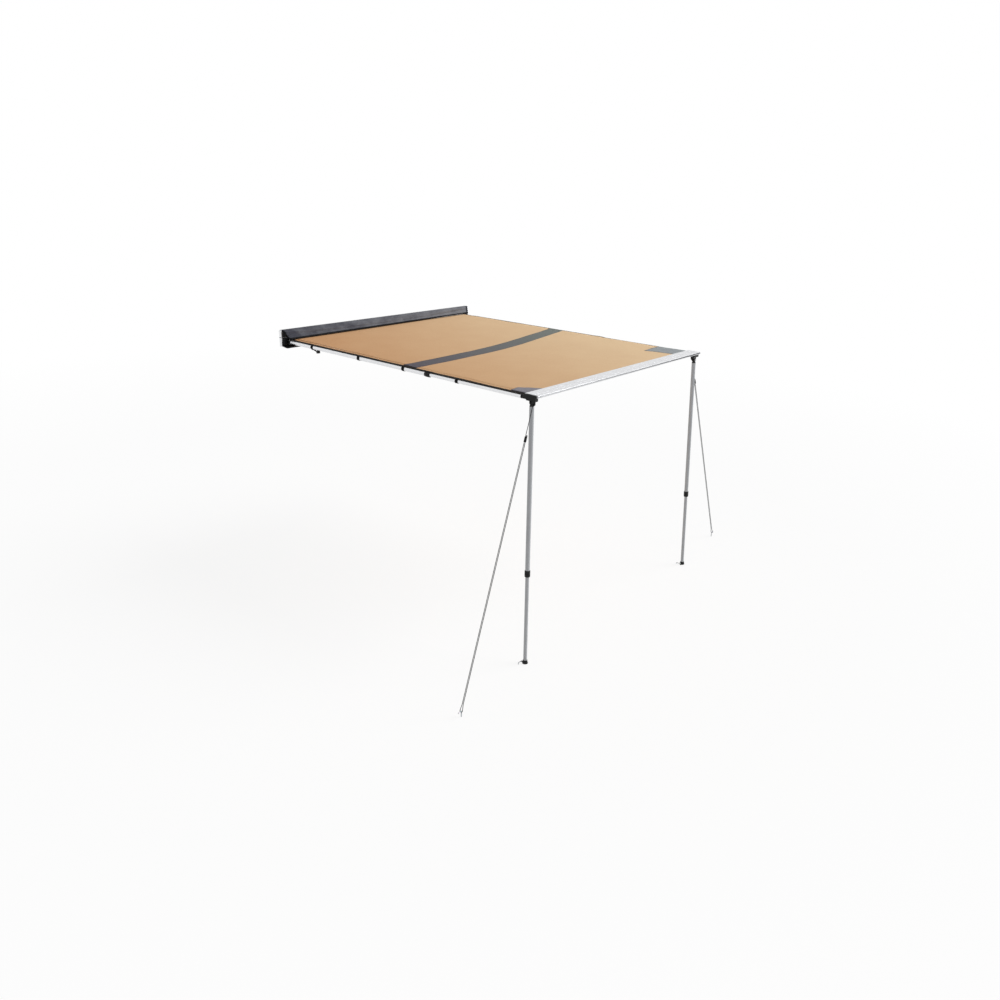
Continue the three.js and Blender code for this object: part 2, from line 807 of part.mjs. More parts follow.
function frontRail() {
  const past = railHalf + cutOver;
  const tools = [];
  const groove = placed(rod(beadGroove, -past, past, pinSides), zToX);
  tools.push(at(groove, 0, -railRear - beadInset, -clothDrop));
  tools.push(block([-past, past], [-railRear + cutOver, -railRear - beadInset],
    [-clothDrop - grooveMouth / 2, -clothDrop + grooveMouth / 2]));
  for (const [rear, front] of railChambers()) {
    tools.push(block([-past, past], [-rear, -front], [railWall - railHeight, -railWall]));
  }
  for (const share of railGrooveShares) {
    const middle = railRear + railDepth * share;
    tools.push(block([-past, past], [-middle + railGrooveWidth / 2, -middle - railGrooveWidth / 2],
      [-railGrooveDepth, cutOver]));
  }
  return cut(alongX(railShape, -railHalf, railHalf), ...tools);
}

// Leg frame: Z down along the leg, Y along the hinge, X away from the middle
function legFrame(sign, pivotInset, footPast, footAhead) {
  const pivotX = sign * (armOffset - legPivotReach);
  const pivot = new THREE.Vector3(pivotX, pivotInset - projection, -legPivotDrop);
  const foot = new THREE.Vector3(sign * (armOffset + footPast), -projection - footAhead, -groundDrop);
  const down = foot.clone().sub(pivot).normalize();
  const hinge = new THREE.Vector3(0, down.z, -down.y).normalize().multiplyScalar(sign);
  const out = hinge.clone().cross(down);
  const tilt = down.angleTo(axisZ.clone().negate());
  const drop = groundDrop - legPivotDrop;
  const length = (drop - footRadius * Math.sin(tilt)) / Math.cos(tilt);
  return { pivot, down, hinge, out, length, matrix: basis(out, hinge, down, pivot) };
}

// Moulded corner: plugs the rail's end, holds the arm's tongue and the leg's pin, and carries the guy ear
function railCorner(sign, leg, pivotInset, earForwardInset) {
  const inner = railHalf + fitGap;
  const outer = inner + cornerPlate;
  const r = cornerPlateRound;
  const cover = alongX([
    [-railRear, -railHeight],
    [-railRear, -cornerPlateDrop],
    ...arc(cornerPlateInset - projection + r, -cornerPlateDrop - r, r, Math.PI / 2, Math.PI, roundSteps / 2),
    [cornerPlateInset - projection, -railHeight],
  ], inner, outer);
  const plugX = [railHalf - cornerPlugLength, inner + cornerPlate / 2];
  const plugZ = [fitGap + railWall - railHeight, -railWall - fitGap];
  const plugs = railChambers()
    .map(([rear, front]) => block(plugX, [-rear - fitGap, -front + fitGap], plugZ));
  const under = -railHeight - fitGap;
  const jawTop = -armDrop + tongueThickness / 2 + fitGap;
  const jawBottom = -armDrop - tongueThickness / 2 - fitGap;
  const jawX = [armOffset - jawHalf, outer - jawWall / 2];
  const jawY = [jawFrontInset - projection, jawRearInset - projection];
  const upper = block(jawX, jawY, [jawTop, under]);
  const lower = block(jawX, jawY, [jawBottom - jawThickness, jawBottom]);
  const wall = block([outer - jawWall, outer], jawY, [jawBottom - jawThickness, under + railHeight / 2]);
  const blockRear = jawFrontInset - projection + fitGap;
  const blockY = [blockRear, pivotInset - projection - cornerBlockMargin];
  const body = block([armOffset - cornerBlockReach, outer], blockY, [-cornerBlockBottom, under]);
  const cheekY = [blockRear, cornerCheekInset - projection];
  const cheek = block([armOffset - cornerCheekReach, outer], cheekY, [-cornerBlockBottom, under]);
  const riser = block([inner, outer], cheekY, [-cornerBlockBottom, under + railHeight / 2]);
  const earY = earForwardInset - projection;
  const tab = alongX([
    [earY + earHalf, earHalf - cornerBlockBottom],
    [earY - earHalf, earHalf - cornerBlockBottom],
    ...arc(earY, -earDrop, earHalf, Math.PI, 2 * Math.PI, roundSteps),
  ], outer - earInset - earThickness, outer - earInset);
  const hole = at(placed(rod(earHoleRadius, outer - earInset - earThickness - cutOver,
    outer - earInset + cutOver, pinSides), zToX), 0, earY, -earDrop);
  const shape = [...arc(0, 0, lugRadius, 0, Math.PI, roundSteps),
    [-lugRadius, cornerBlockBottom - legPivotDrop - lugThickness],
    [lugRadius, cornerBlockBottom - legPivotDrop - lugThickness]];
  const near = legBladeHalf + lugGap;
  const upright = basis(axisX.clone().multiplyScalar(sign), leg.hinge.clone(),
    leg.hinge.clone().cross(axisX).multiplyScalar(-sign), leg.pivot);
  const lugs = [[near, near + lugThickness], [-near - lugThickness, -near]].map(([from, to]) => {
    const lug = placed(alongY(shape, from, to), upright);
    return lug;
  });
  const bore = placed(placed(rod(pinBore, -near - lugThickness - cutOver, near + lugThickness + cutOver,
    pinSides), zToY), upright);
  const pieces = [cover, ...plugs, upper, lower, wall, body, cheek, riser, tab];
  const solids = pieces.map((piece) => onSide(piece, sign));
  return cut(join(...solids, ...lugs), onSide(hole, sign), bore);
}

function legFoot(length, earTurn) {
  const cap = turned([
    [0, length - footBase],
    [innerRadius + fitGap, length - footBase],
    [innerRadius + fitGap, length - footHeight],
    [footNeckRadius, length - footHeight],
    [footNeckRadius, length - footFlare],
    [footRadius, length - footBase / 2],
    [footRadius, length],
    [0, length],
  ]);
  const high = length - footEarRaise;
  const tab = alongZ([
    [footEarHalf, innerRadius],
    ...arc(0, footEarReach, footEarHalf, 0, Math.PI, roundSteps),
    [-footEarHalf, innerRadius],
  ], high - footEarThickness, high);
  const bore = at(rod(stapleRadius + fitGap + fitGap / 2, high - footEarThickness - cutOver, high + cutOver,
    pinSides), 0, footEarReach, 0);
  const ear = placed(cut(tab, bore), new THREE.Matrix4().makeRotationZ(earTurn));
  const socket = rod(innerRadius + fitGap, length - footHeight - cutOver, length - footBase);
  return cut(join(cap, ear), socket);
}

// Two pronged wire peg that pins the foot to the ground, with its crossbar to the given hand of the ear
function footPeg(length, earTurn, hand) {
  const high = length - footEarRaise - footEarThickness - fitGap - stapleBend;
  const low = length + stapleDepth;
  const nearLow = new THREE.Vector3(0, footEarReach, low);
  const nearHigh = new THREE.Vector3(0, footEarReach, high);
  const farHigh = new THREE.Vector3(hand * stapleSpan, footEarReach, high);
  const farLow = new THREE.Vector3(hand * stapleSpan, footEarReach, low);
  const wire = swept([
    nearLow,
    ...bend(nearLow, nearHigh, farHigh, stapleBend, roundSteps / 2),
    ...bend(nearHigh, farHigh, farLow, stapleBend, roundSteps / 2),
    farLow,
  ], stapleRadius);
  return placed(wire, new THREE.Matrix4().makeRotationZ(earTurn));
}

function buildLeg(name, leg, earTurn, hand) {
  const group = new THREE.Group();
  group.applyMatrix4(leg.matrix);
  const start = legShoulder + legFlange + fitGap;
  const middle = leg.length * legCollarShare;
  const tubeEnd = leg.length - footBase - fitGap;
  add(group, `leg_knuckle_${name}`, eyePlug(legBladeHalf, legShoulder, legFlange), 'black');
  add(group, `leg_upper_tube_${name}`, pipe(outerRadius, outerBore, start, middle - fitGap), 'leg');
  add(group, `leg_lock_collar_${name}`, lockCollar(middle), 'black');
  add(group, `leg_lower_tube_${name}`, pipe(innerRadius, innerBore, middle - tubeOverlap, tubeEnd), 'leg');
  add(group, `leg_foot_${name}`, legFoot(leg.length, earTurn), 'black');
  add(group, `foot_peg_${name}`, footPeg(leg.length, earTurn, hand), 'steel');
  const pin = placed(headedPin(legBladeHalf + lugGap + lugThickness), zToY);
  add(awning, `leg_pin_${name}`, placed(pin, leg.matrix), 'steel');
  awning.add(group);
}

const legLeft = legFrame(-1, legPivotInsetLeft, footPastLeft, footAheadLeft);
const legRight = legFrame(1, legPivotInsetRight, footPastRight, footAheadRight);
add(awning, 'front_rail', frontRail(), 'silver');
const cornerLeft = railCorner(-1, legLeft, legPivotInsetLeft, earForwardInsetLeft);
const cornerRight = railCorner(1, legRight, legPivotInsetRight, earForwardInsetRight);
add(awning, 'rail_corner_left', cornerLeft, 'black');
add(awning, 'rail_corner_right', cornerRight, 'black');
buildLeg('left', legLeft, 0, 1);
buildLeg('right', legRight, Math.PI / 2, -1);

// Guy rope from the corner's ear through the runner, round the peg and back up to its knot above the runner.
// Its two strands lie side by side down to the neck, where they open into the loop round the peg
function buildGuy(name, sign, earForwardInset, loopPast, loopAhead, look) {
  const earOuter = railHalf + fitGap + cornerPlate - earInset;
  const earY = earForwardInset - projection;
  const knotX = sign * (earOuter - earThickness - fitGap - knotRadius);
  const ropeStart = new THREE.Vector3(knotX, earY, -earDrop);
  const top = new THREE.Vector3(sign * (earOuter + ropeLeave), earY, -earDrop);
  const loopX = sign * (armOffset + loopPast);
  const loop = new THREE.Vector3(loopX, -projection - loopAhead, loopHeight - groundDrop);
  const slope = loop.clone().sub(top).normalize();
  const away = new THREE.Vector3(slope.x, slope.y, 0).normalize();
  const across = axisZ.clone().cross(away);
  const turnMiddle = loop.clone().addScaledVector(slope, -loopRadius);
  const opening = (hand, share) => {
    const half = runnerHoleSpacing / 2;
    const wide = half + (loopRadius - half) * share * share * (3 - 2 * share);
    return turnMiddle.clone().addScaledVector(slope, -loopNeck * (1 - share))
      .addScaledVector(across, hand * wide);
  };
  const neck = opening(-1, 0);
  const down = neck.clone().sub(top).normalize();
  const route = [ropeStart, ...bend(ropeStart, top, neck, ropeLeaveBend, roundSteps / 2)];
  for (let i = 0; i < roundSteps; i += 1) route.push(opening(-1, i / roundSteps));
  for (let i = 0; i <= roundSteps; i += 1) {
    const angle = Math.PI * (i / roundSteps);
    route.push(turnMiddle.clone().addScaledVector(across, -loopRadius * Math.cos(angle))
      .addScaledVector(slope, loopRadius * Math.sin(angle)));
  }
  for (let i = roundSteps - 1; i >= 0; i -= 1) route.push(opening(1, i / roundSteps));
  const aside = across.clone().addScaledVector(down, -across.dot(down)).normalize();
  const runnerMiddle = top.clone().addScaledVector(down, runnerDown)
    .addScaledVector(aside, runnerHoleSpacing / 2);
  const ropeEnd = runnerMiddle.clone().addScaledVector(aside, runnerHoleSpacing / 2)
    .addScaledVector(down, -runnerLength / 2 - fitGap - knotRadius);
  route.push(ropeEnd);
  const rope = join(swept(route, ropeRadius), ball(ropeStart, knotRadius), ball(ropeEnd, knotRadius));
  add(awning, `guy_rope_${name}`, rope, look);

  const side = runnerThickness / 2;
  const straight = runnerWidth / 2 - side;
  const shape = [...arc(straight, 0, side, -Math.PI / 2, Math.PI / 2, roundSteps / 2),
    ...arc(-straight, 0, side, Math.PI / 2, 3 * Math.PI / 2, roundSteps / 2)];
  const holes = [-1, 1].map((hand) => at(rod(runnerHoleRadius, -runnerLength, runnerLength, pinSides),
    hand * runnerHoleSpacing / 2, 0, 0));
  const runner = cut(alongZ(shape, -runnerLength / 2, runnerLength / 2), ...holes);
  const square = down.clone().cross(aside);
  add(awning, `guy_runner_${name}`, placed(runner, basis(aside, square, down, runnerMiddle)), 'black');

  const pegFoot = loop.clone().addScaledVector(away, -ropeRadius - fitGap - pegRadius).setZ(-groundDrop);
  const low = new THREE.Vector3(0, 0, pegTip - pegBelow);
  const corner = new THREE.Vector3(0, 0, pegAbove);
  const armEnd = new THREE.Vector3(pegArm, 0, pegAbove);
  const tipTop = pegTip + fitGap - pegBelow;
  const tip = turned([[0, -pegBelow], [pegRadius / 4, -pegBelow], [pegRadius * 0.9, tipTop], [0, tipTop]],
    wireSides);
  const wire = swept([low, ...bend(low, corner, armEnd, pegBend, roundSteps), armEnd], pegRadius);
  const peg = join(wire, tip);
  const pegAcross = axisZ.clone().cross(away);
  add(awning, `guy_peg_${name}`, placed(peg, basis(away, pegAcross, axisZ, pegFoot)), 'steel');
}

buildGuy('left', -1, earForwardInsetLeft, loopPastLeft, loopAheadLeft, 'ropeDark');
buildGuy('right', 1, earForwardInsetRight, loopPastRight, loopAheadRight, 'ropeGrey');

export default awning;
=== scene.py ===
"""Looks of the pull-out vehicle side awning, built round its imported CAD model. Lengths are in metres."""
import json
import math
from dataclasses import dataclass

import bpy
import numpy as np
from mathutils import Matrix, Vector, noise
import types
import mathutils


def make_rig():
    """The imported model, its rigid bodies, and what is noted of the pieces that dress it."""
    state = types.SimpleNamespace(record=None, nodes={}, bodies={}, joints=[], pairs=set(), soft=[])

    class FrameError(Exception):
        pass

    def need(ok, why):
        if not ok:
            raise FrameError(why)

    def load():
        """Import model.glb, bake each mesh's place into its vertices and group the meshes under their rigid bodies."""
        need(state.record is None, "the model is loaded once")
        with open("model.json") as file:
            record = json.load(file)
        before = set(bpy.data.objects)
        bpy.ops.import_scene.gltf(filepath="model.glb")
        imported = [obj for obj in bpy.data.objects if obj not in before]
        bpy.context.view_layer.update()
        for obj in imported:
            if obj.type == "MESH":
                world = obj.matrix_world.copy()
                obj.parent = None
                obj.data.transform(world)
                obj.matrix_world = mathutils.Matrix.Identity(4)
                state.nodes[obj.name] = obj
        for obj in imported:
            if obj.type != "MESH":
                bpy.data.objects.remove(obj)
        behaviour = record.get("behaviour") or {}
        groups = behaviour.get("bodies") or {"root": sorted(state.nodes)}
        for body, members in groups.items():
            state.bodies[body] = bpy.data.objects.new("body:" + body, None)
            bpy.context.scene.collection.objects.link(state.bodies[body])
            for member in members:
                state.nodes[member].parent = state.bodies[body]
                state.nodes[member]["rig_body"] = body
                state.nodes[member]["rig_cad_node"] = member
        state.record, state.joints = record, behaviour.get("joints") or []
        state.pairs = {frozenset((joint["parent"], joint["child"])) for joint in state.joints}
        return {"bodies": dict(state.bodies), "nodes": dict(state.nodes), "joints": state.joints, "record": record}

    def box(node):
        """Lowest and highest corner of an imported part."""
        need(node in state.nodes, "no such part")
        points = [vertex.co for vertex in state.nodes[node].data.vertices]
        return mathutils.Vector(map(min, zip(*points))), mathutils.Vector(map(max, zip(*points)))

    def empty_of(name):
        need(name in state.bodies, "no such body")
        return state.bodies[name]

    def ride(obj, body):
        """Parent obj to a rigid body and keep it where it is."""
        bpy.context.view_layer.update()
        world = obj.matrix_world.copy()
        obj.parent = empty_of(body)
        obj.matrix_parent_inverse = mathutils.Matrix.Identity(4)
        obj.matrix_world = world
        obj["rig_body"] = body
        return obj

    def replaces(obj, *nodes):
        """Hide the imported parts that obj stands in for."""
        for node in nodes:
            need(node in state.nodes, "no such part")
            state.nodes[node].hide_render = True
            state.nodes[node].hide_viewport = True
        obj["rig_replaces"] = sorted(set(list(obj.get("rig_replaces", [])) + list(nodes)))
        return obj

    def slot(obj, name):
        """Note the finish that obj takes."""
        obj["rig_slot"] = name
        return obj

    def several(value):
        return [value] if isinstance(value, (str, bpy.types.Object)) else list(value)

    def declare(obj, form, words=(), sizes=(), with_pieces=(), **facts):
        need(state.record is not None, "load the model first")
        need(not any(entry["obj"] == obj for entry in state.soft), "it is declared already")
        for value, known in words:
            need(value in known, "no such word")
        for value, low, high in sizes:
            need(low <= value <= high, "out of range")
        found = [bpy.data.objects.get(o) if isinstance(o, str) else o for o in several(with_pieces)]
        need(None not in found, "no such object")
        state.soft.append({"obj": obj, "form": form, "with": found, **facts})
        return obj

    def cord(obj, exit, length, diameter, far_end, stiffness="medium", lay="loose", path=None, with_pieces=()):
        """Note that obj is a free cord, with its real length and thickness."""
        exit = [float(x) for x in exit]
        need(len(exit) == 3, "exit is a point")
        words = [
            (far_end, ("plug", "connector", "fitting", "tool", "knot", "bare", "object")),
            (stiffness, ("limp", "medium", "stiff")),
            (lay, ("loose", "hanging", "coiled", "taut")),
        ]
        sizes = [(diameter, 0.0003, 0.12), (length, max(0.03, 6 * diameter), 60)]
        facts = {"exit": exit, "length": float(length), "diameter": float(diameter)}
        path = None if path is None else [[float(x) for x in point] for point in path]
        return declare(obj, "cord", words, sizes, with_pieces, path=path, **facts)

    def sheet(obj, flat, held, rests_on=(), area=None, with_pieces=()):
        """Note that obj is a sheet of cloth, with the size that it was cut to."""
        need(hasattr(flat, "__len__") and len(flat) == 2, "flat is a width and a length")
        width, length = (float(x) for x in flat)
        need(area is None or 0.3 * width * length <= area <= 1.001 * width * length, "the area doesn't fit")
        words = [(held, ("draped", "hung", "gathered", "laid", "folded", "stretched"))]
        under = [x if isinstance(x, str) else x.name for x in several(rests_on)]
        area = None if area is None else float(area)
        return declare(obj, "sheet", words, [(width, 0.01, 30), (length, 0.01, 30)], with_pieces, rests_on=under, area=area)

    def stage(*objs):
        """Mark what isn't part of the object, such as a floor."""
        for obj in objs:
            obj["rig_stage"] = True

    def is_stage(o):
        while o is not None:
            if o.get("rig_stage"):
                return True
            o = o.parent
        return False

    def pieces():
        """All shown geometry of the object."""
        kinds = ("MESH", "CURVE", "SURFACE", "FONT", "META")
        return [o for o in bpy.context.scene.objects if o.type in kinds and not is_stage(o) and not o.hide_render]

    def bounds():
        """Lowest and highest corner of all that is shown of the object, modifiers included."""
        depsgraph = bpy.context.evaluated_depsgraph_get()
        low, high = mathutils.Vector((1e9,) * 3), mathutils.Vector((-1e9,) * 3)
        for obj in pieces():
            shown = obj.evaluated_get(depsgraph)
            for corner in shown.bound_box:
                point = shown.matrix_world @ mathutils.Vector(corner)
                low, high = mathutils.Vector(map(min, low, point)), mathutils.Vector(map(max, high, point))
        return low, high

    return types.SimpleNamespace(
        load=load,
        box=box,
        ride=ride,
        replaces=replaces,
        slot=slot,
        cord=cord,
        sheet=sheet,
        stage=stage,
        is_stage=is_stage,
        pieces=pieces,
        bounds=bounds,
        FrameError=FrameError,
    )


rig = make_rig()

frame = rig.load()
cad_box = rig.bounds()
nodes = frame["nodes"]
scene = bpy.context.scene
ROOT = "awning_frame"

# Camera, as the photograph was taken
CAMERA_PLACE = (-4.7256, -5.3511, 1.1716)
CAMERA_AZIMUTH = math.radians(-49.968)
CAMERA_ELEVATION = math.radians(21.4204)
CAMERA_ROLL = math.radians(1.7489)
CAMERA_SENSOR = 36.0
CAMERA_LENS = 29.203

# Places of the frame
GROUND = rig.box("leg_foot_left")[0].z
PROJECTION = -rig.box("front_rail")[0].y
RAIL_REAR = -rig.box("front_rail")[1].y
ARM_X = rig.box("front_rail")[1].x - 0.003
ARM_DROP = 0.026
BOARD_HALF = ARM_X + 0.055
BOARD_TOP = 0.062
BOARD_DEPTH = 0.028
BEAD_INSET = 0.0055
BEAD_RADIUS = 0.0022
HEM_OUTER = ARM_X - 0.015
HEM_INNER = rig.box("side_hem_right")[0].x
CLOTH_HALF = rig.box("canopy")[1].x
CLOTH_DROP = 0.005
CLOTH_REAR = BOARD_DEPTH + BEAD_INSET
CLOTH_FRONT = RAIL_REAR + BEAD_INSET
STRAP_PLACES = [share * PROJECTION for share in (0.138, 0.3504, 0.5352, 0.734)]
ARM_COLLAR = 0.6272 * PROJECTION

# Cloth and webbing
CANVAS = 0.0012
TRIM = 0.0009
TRIM_GAP = 0.00015
WEBBING = 0.0016
CLOTH_SAG = 0.014
HEM_SAG = 0.003
STRAP_PULL = 0.0007
RAIL_PULL = 0.0016
PULL_REACH = 0.28
PULL_FOLDS = 11
GAP = 0.0003

# Tubes, cords and pegs
OUTER_RADIUS = 0.015
OUTER_BORE = 0.0134
INNER_RADIUS = 0.0125
INNER_BORE = 0.0112
TUBE_OVERLAP = 0.15
TUBE_STEPS = 40
COLLAR_RADIUS = 0.0185
COLLAR_LENGTH = 0.044
ARM_TUBE_START = 0.0243
ARM_TUBE_INSET = 0.134
LEG_TUBE_START = 0.0213
LEG_TUBE_INSET = 0.0123
LEG_COLLAR_SHARE = 0.633
LEG_PIVOT_REACH = 0.032
LEG_PIVOT_DROP = 0.062
FOOT_RADIUS = 0.019
ROPE_RADIUS = 0.002
KNOT_RADIUS = 0.0045
KNOT_UNIT = 0.0011
EAR_OUTER = 0.996
EAR_THICKNESS = 0.005
EAR_DROP = 0.060
LOOP_RADIUS = 0.008
LOOP_NECK = 0.045
LOOP_HEIGHT = 0.035
ROPE_LEAVE = 0.006
ROPE_BEND = 0.008
RUNNER_DOWN = 0.212
RUNNER_LENGTH = 0.034
RUNNER_HOLES = 0.007
PEG_RADIUS = 0.0035
PEG_ABOVE = 0.043
PEG_BELOW = 0.2
PEG_TIP = 0.014
PEG_ARM = 0.034
PEG_BEND = 0.008
PEG_SIDES = 16
STAPLE_RADIUS = 0.00275
STAPLE_SPAN = 0.040
STAPLE_DEPTH = 0.053
STAPLE_BEND = 0.005
FOOT_EAR_REACH = 0.024
FOOT_EAR_RAISE = 0.0015
FOOT_EAR_THICKNESS = 0.004


@dataclass
class Side:
    """What differs between the two sides. The arm's pivot is measured from the board's rear face, the
    leg's and the ear back from the rail's front, and the foot and the loop past the arm and the rail."""

    name: str
    sign: int
    arm_pivot: float
    leg_inset: float
    foot_past: float
    foot_ahead: float
    ear_turn: float
    hand: int
    ear_inset: float
    loop_past: float
    loop_ahead: float
    rope_length: float


LEFT = Side("left", -1, 0.054, 0.078, 0.054, 0.027, 0.0, 1, 0.042, 0.769, 0.114, 3.593)
RIGHT = Side("right", 1, 0.106, 0.030, 0.046, 0.040, math.pi / 2, -1, 0.060, 0.766, -0.054, 3.578)
SIDES = (LEFT, RIGHT)


def add_object(name, data):
    made = bpy.data.objects.new(name, data)
    scene.collection.objects.link(made)
    return made


def set_camera():
    azimuth, elevation, roll = CAMERA_AZIMUTH, CAMERA_ELEVATION, CAMERA_ROLL
    back = Vector((
        math.sin(azimuth) * math.cos(elevation),
        -math.cos(azimuth) * math.cos(elevation),
        math.sin(elevation),
    ))
    right = Vector((0, 0, 1)).cross(back).normalized()
    up = back.cross(right)
    turned_right = right * math.cos(roll) + up * math.sin(roll)
    turned_up = up * math.cos(roll) - right * math.sin(roll)
    camera = add_object("camera", bpy.data.cameras.new("camera"))
    camera.data.sensor_fit = "HORIZONTAL"
    camera.data.sensor_width = CAMERA_SENSOR
    camera.data.lens = CAMERA_LENS
    camera.data.clip_end = 200
    turn = Matrix((turned_right, turned_up, back)).transposed().to_4x4()
    camera.matrix_world = Matrix.Translation(CAMERA_PLACE) @ turn
    scene.camera = camera


set_camera()


# Materials

def rgb(code):
    """Linear colour of a six digit sRGB code."""
    shares = [int(code[i:i + 2], 16) / 255 for i in (0, 2, 4)]
    linear = [s / 12.92 if s <= 0.04045 else ((s + 0.055) / 1.055) ** 2.4 for s in shares]
    return (*linear, 1.0)


def add_node(tree, kind, inputs=None, **settings):
    """Shader node with its settings, and its inputs given as values or as sockets of other nodes."""
    made = tree.nodes.new("ShaderNode" + kind)
    for key, value in settings.items():
        setattr(made, key, value)
    for key, value in (inputs or {}).items():
        if isinstance(value, bpy.types.NodeSocket):
            tree.links.new(value, made.inputs[key])
        else:
            made.inputs[key].default_value = value
    return made


class Look:
    """A procedural material: a Principled shader and the nodes that feed it."""

    def __init__(self, name, slot, **constants):
        self.slot = slot
        self.material = bpy.data.materials.new(name)
        self.material.use_nodes = True
        self.tree = self.material.node_tree
        self.shader = self.tree.nodes["Principled BSDF"]
        for socket, value in constants.items():
            self.shader.inputs[socket.replace("_", " ")].default_value = value

    def node(self, kind, inputs=None, **settings):
        return add_node(self.tree, kind, inputs, **settings)

    def parts(self, vector):
        """The X, Y and Z sockets of a vector."""
        return self.node("SeparateXYZ", {"Vector": vector}).outputs

    def place(self, source, stretch=(1, 1, 1)):
        """Coordinates in metres: the piece's own 'cut' attribute, or the object's."""
        if source == "cut":
            vector = self.node("Attribute", attribute_name="cut").outputs["Vector"]
        else:
            vector = self.node("TexCoord").outputs["Object"]
        return self.node("Mapping", {"Vector": vector, "Scale": stretch}).outputs["Vector"]

    def noise(self, vector, scale, detail=3.0, roughness=0.5):
        inputs = {"Vector": vector, "Scale": scale, "Detail": detail, "Roughness": roughness}
        return self.node("TexNoise", inputs).outputs["Fac"]

    def wave(self, vector, pitch, direction):
        """Even bands, one to each pitch."""
        inputs = {"Vector": vector, "Scale": math.pi / 10 / pitch}
        return self.node("TexWave", inputs, bands_direction=direction).outputs["Fac"]

    def ramp(self, factor, *stops):
        made = self.node("ValToRGB", {"Fac": factor})
        ends = made.color_ramp.elements
        while len(ends) < len(stops):
            ends.new(0.5)
        for end, (position, colour) in zip(ends, stops):
            end.position = position
            end.color = rgb(colour) if isinstance(colour, str) else (colour,) * 3 + (1,)
        return made.outputs["Color"]

    def math(self, operation, *values):
        return self.node("Math", dict(enumerate(values)), operation=operation).outputs["Value"]

    def mix(self, factor, first, second, blend="MIX"):
        inputs = {0: factor, 6: first, 7: second}
        return self.node("Mix", inputs, data_type="RGBA", blend_type=blend).outputs[2]

    def paint(self, colour, rough, height, depth=0.0002, strength=0.5):
        link = self.tree.links.new
        link(colour, self.shader.inputs["Base Color"])
        link(rough, self.shader.inputs["Roughness"])
        bump = self.node("Bump", {"Height": height, "Distance": depth, "Strength": strength})
        link(bump.outputs["Normal"], self.shader.inputs["Normal"])
        return self


def woven(name, slot, dark, light, pitch, level_and_painted_light, strength=0.4, patch_scale=3.0, mottle=1.6):
    """Plain woven cloth with a fine speckle of yarns, its tone drifting at random, with painted light and shade:
    lighter along X and forward.
    """
    look = Look(name, slot, Sheen_Weight=0.04, Sheen_Roughness=0.5, Specular_IOR_Level=0.12)
    cut = look.place("cut")
    weave = look.math("MULTIPLY", look.wave(cut, pitch, "X"), look.wave(cut, pitch, "Y"))
    tone = look.noise(cut, patch_scale, 4.0, 0.6)
    yarn = look.noise(look.place("cut", (1, 0.25, 1)), 0.4 / pitch, 2.0)
    # Painted light and shade: the tone is painted lighter along X and forward, by the given slopes.
    where = look.parts(look.place("object"))
    painted_light_and_mottle = look.math("ADD", look.math("MULTIPLY", where["X"], level_and_painted_light[1]),
                      look.math("MULTIPLY", where["Y"], -level_and_painted_light[2]))
    painted_light_and_mottle = look.math("ADD", painted_light_and_mottle, level_and_painted_light[0])
    painted_light_and_mottle = look.math("ADD", painted_light_and_mottle, look.math("MULTIPLY", look.math("SUBTRACT", tone, 0.5), mottle))
    colour = look.ramp(painted_light_and_mottle, (0.0, dark), (1.0, light))
    colour = look.mix(0.25, colour, look.ramp(yarn, (0.3, 0.4), (0.7, 0.62)), "OVERLAY")
    rough = look.ramp(tone, (0.2, 0.72), (0.8, 0.9))
    return look.paint(colour, rough, look.math("ADD", weave, yarn), 0.0003, strength)


def webbed(name, slot, dark, light):
    """Woven webbing with ribs across its length, coloured lighter on the ribs' tops and darker between them."""
    look = Look(name, slot, Sheen_Weight=0.03, Specular_IOR_Level=0.12)
    cut = look.place("cut")
    ribs = look.wave(cut, 0.0017, "X")
    strands = look.wave(cut, 0.0012, "Y")
    height = look.math("MULTIPLY", ribs, strands)
    fuzz = look.noise(cut, 900.0, 2.0)
    colour = look.ramp(look.math("ADD", look.math("MULTIPLY", height, 0.6), fuzz), (0.35, dark), (1.1, light))
    return look.paint(colour, look.ramp(fuzz, (0.2, 0.75), (0.8, 0.95)), height, 0.0004, 0.6)


def brushed(name, slot, dark, light, source, stretch, metal=1.0, rough=(0.26, 0.42), lined=False):
    """Anodised aluminium with fine lines, smudges and scuffs. lined turns the board's front face black."""
    look = Look(name, slot, Metallic=metal)
    lines = look.noise(look.place(source, stretch), 900.0, 3.0, 0.6)
    smudge = look.noise(look.place(source), 9.0, 4.0, 0.6)
    scuff = look.ramp(look.noise(look.place(source), 60.0, 6.0, 0.75), (0.62, 0.0), (0.74, 1.0))
    colour = look.ramp(lines, (0.3, dark), (0.7, light))
    colour = look.mix(0.35, colour, look.ramp(smudge, (0.3, 0.42), (0.7, 0.56)), "OVERLAY")
    shade = look.math("ADD", look.math("MULTIPLY", smudge, 0.5), look.math("MULTIPLY", scuff, 0.25))
    roughness = look.node("MapRange", {"Value": shade, "To Min": rough[0], "To Max": rough[1]}).outputs[0]
    if lined:
        depth = look.parts(look.place("object"))["Y"]
        face = look.math("MULTIPLY", look.math("LESS_THAN", depth, 0.0005 - BOARD_DEPTH),
                         look.math("GREATER_THAN", depth, -0.0015 - BOARD_DEPTH))
        colour = look.mix(face, colour, look.ramp(smudge, (0.3, "0b0b0d"), (0.7, "1d1d20")))
        look.tree.links.new(look.math("MULTIPLY", look.math("SUBTRACT", 1.0, face), metal),
                            look.shader.inputs["Metallic"])
        roughness = look.math("MAXIMUM", roughness, look.math("MULTIPLY", face, 0.85))
    return look.paint(colour, roughness, lines, 0.00004, 0.3)


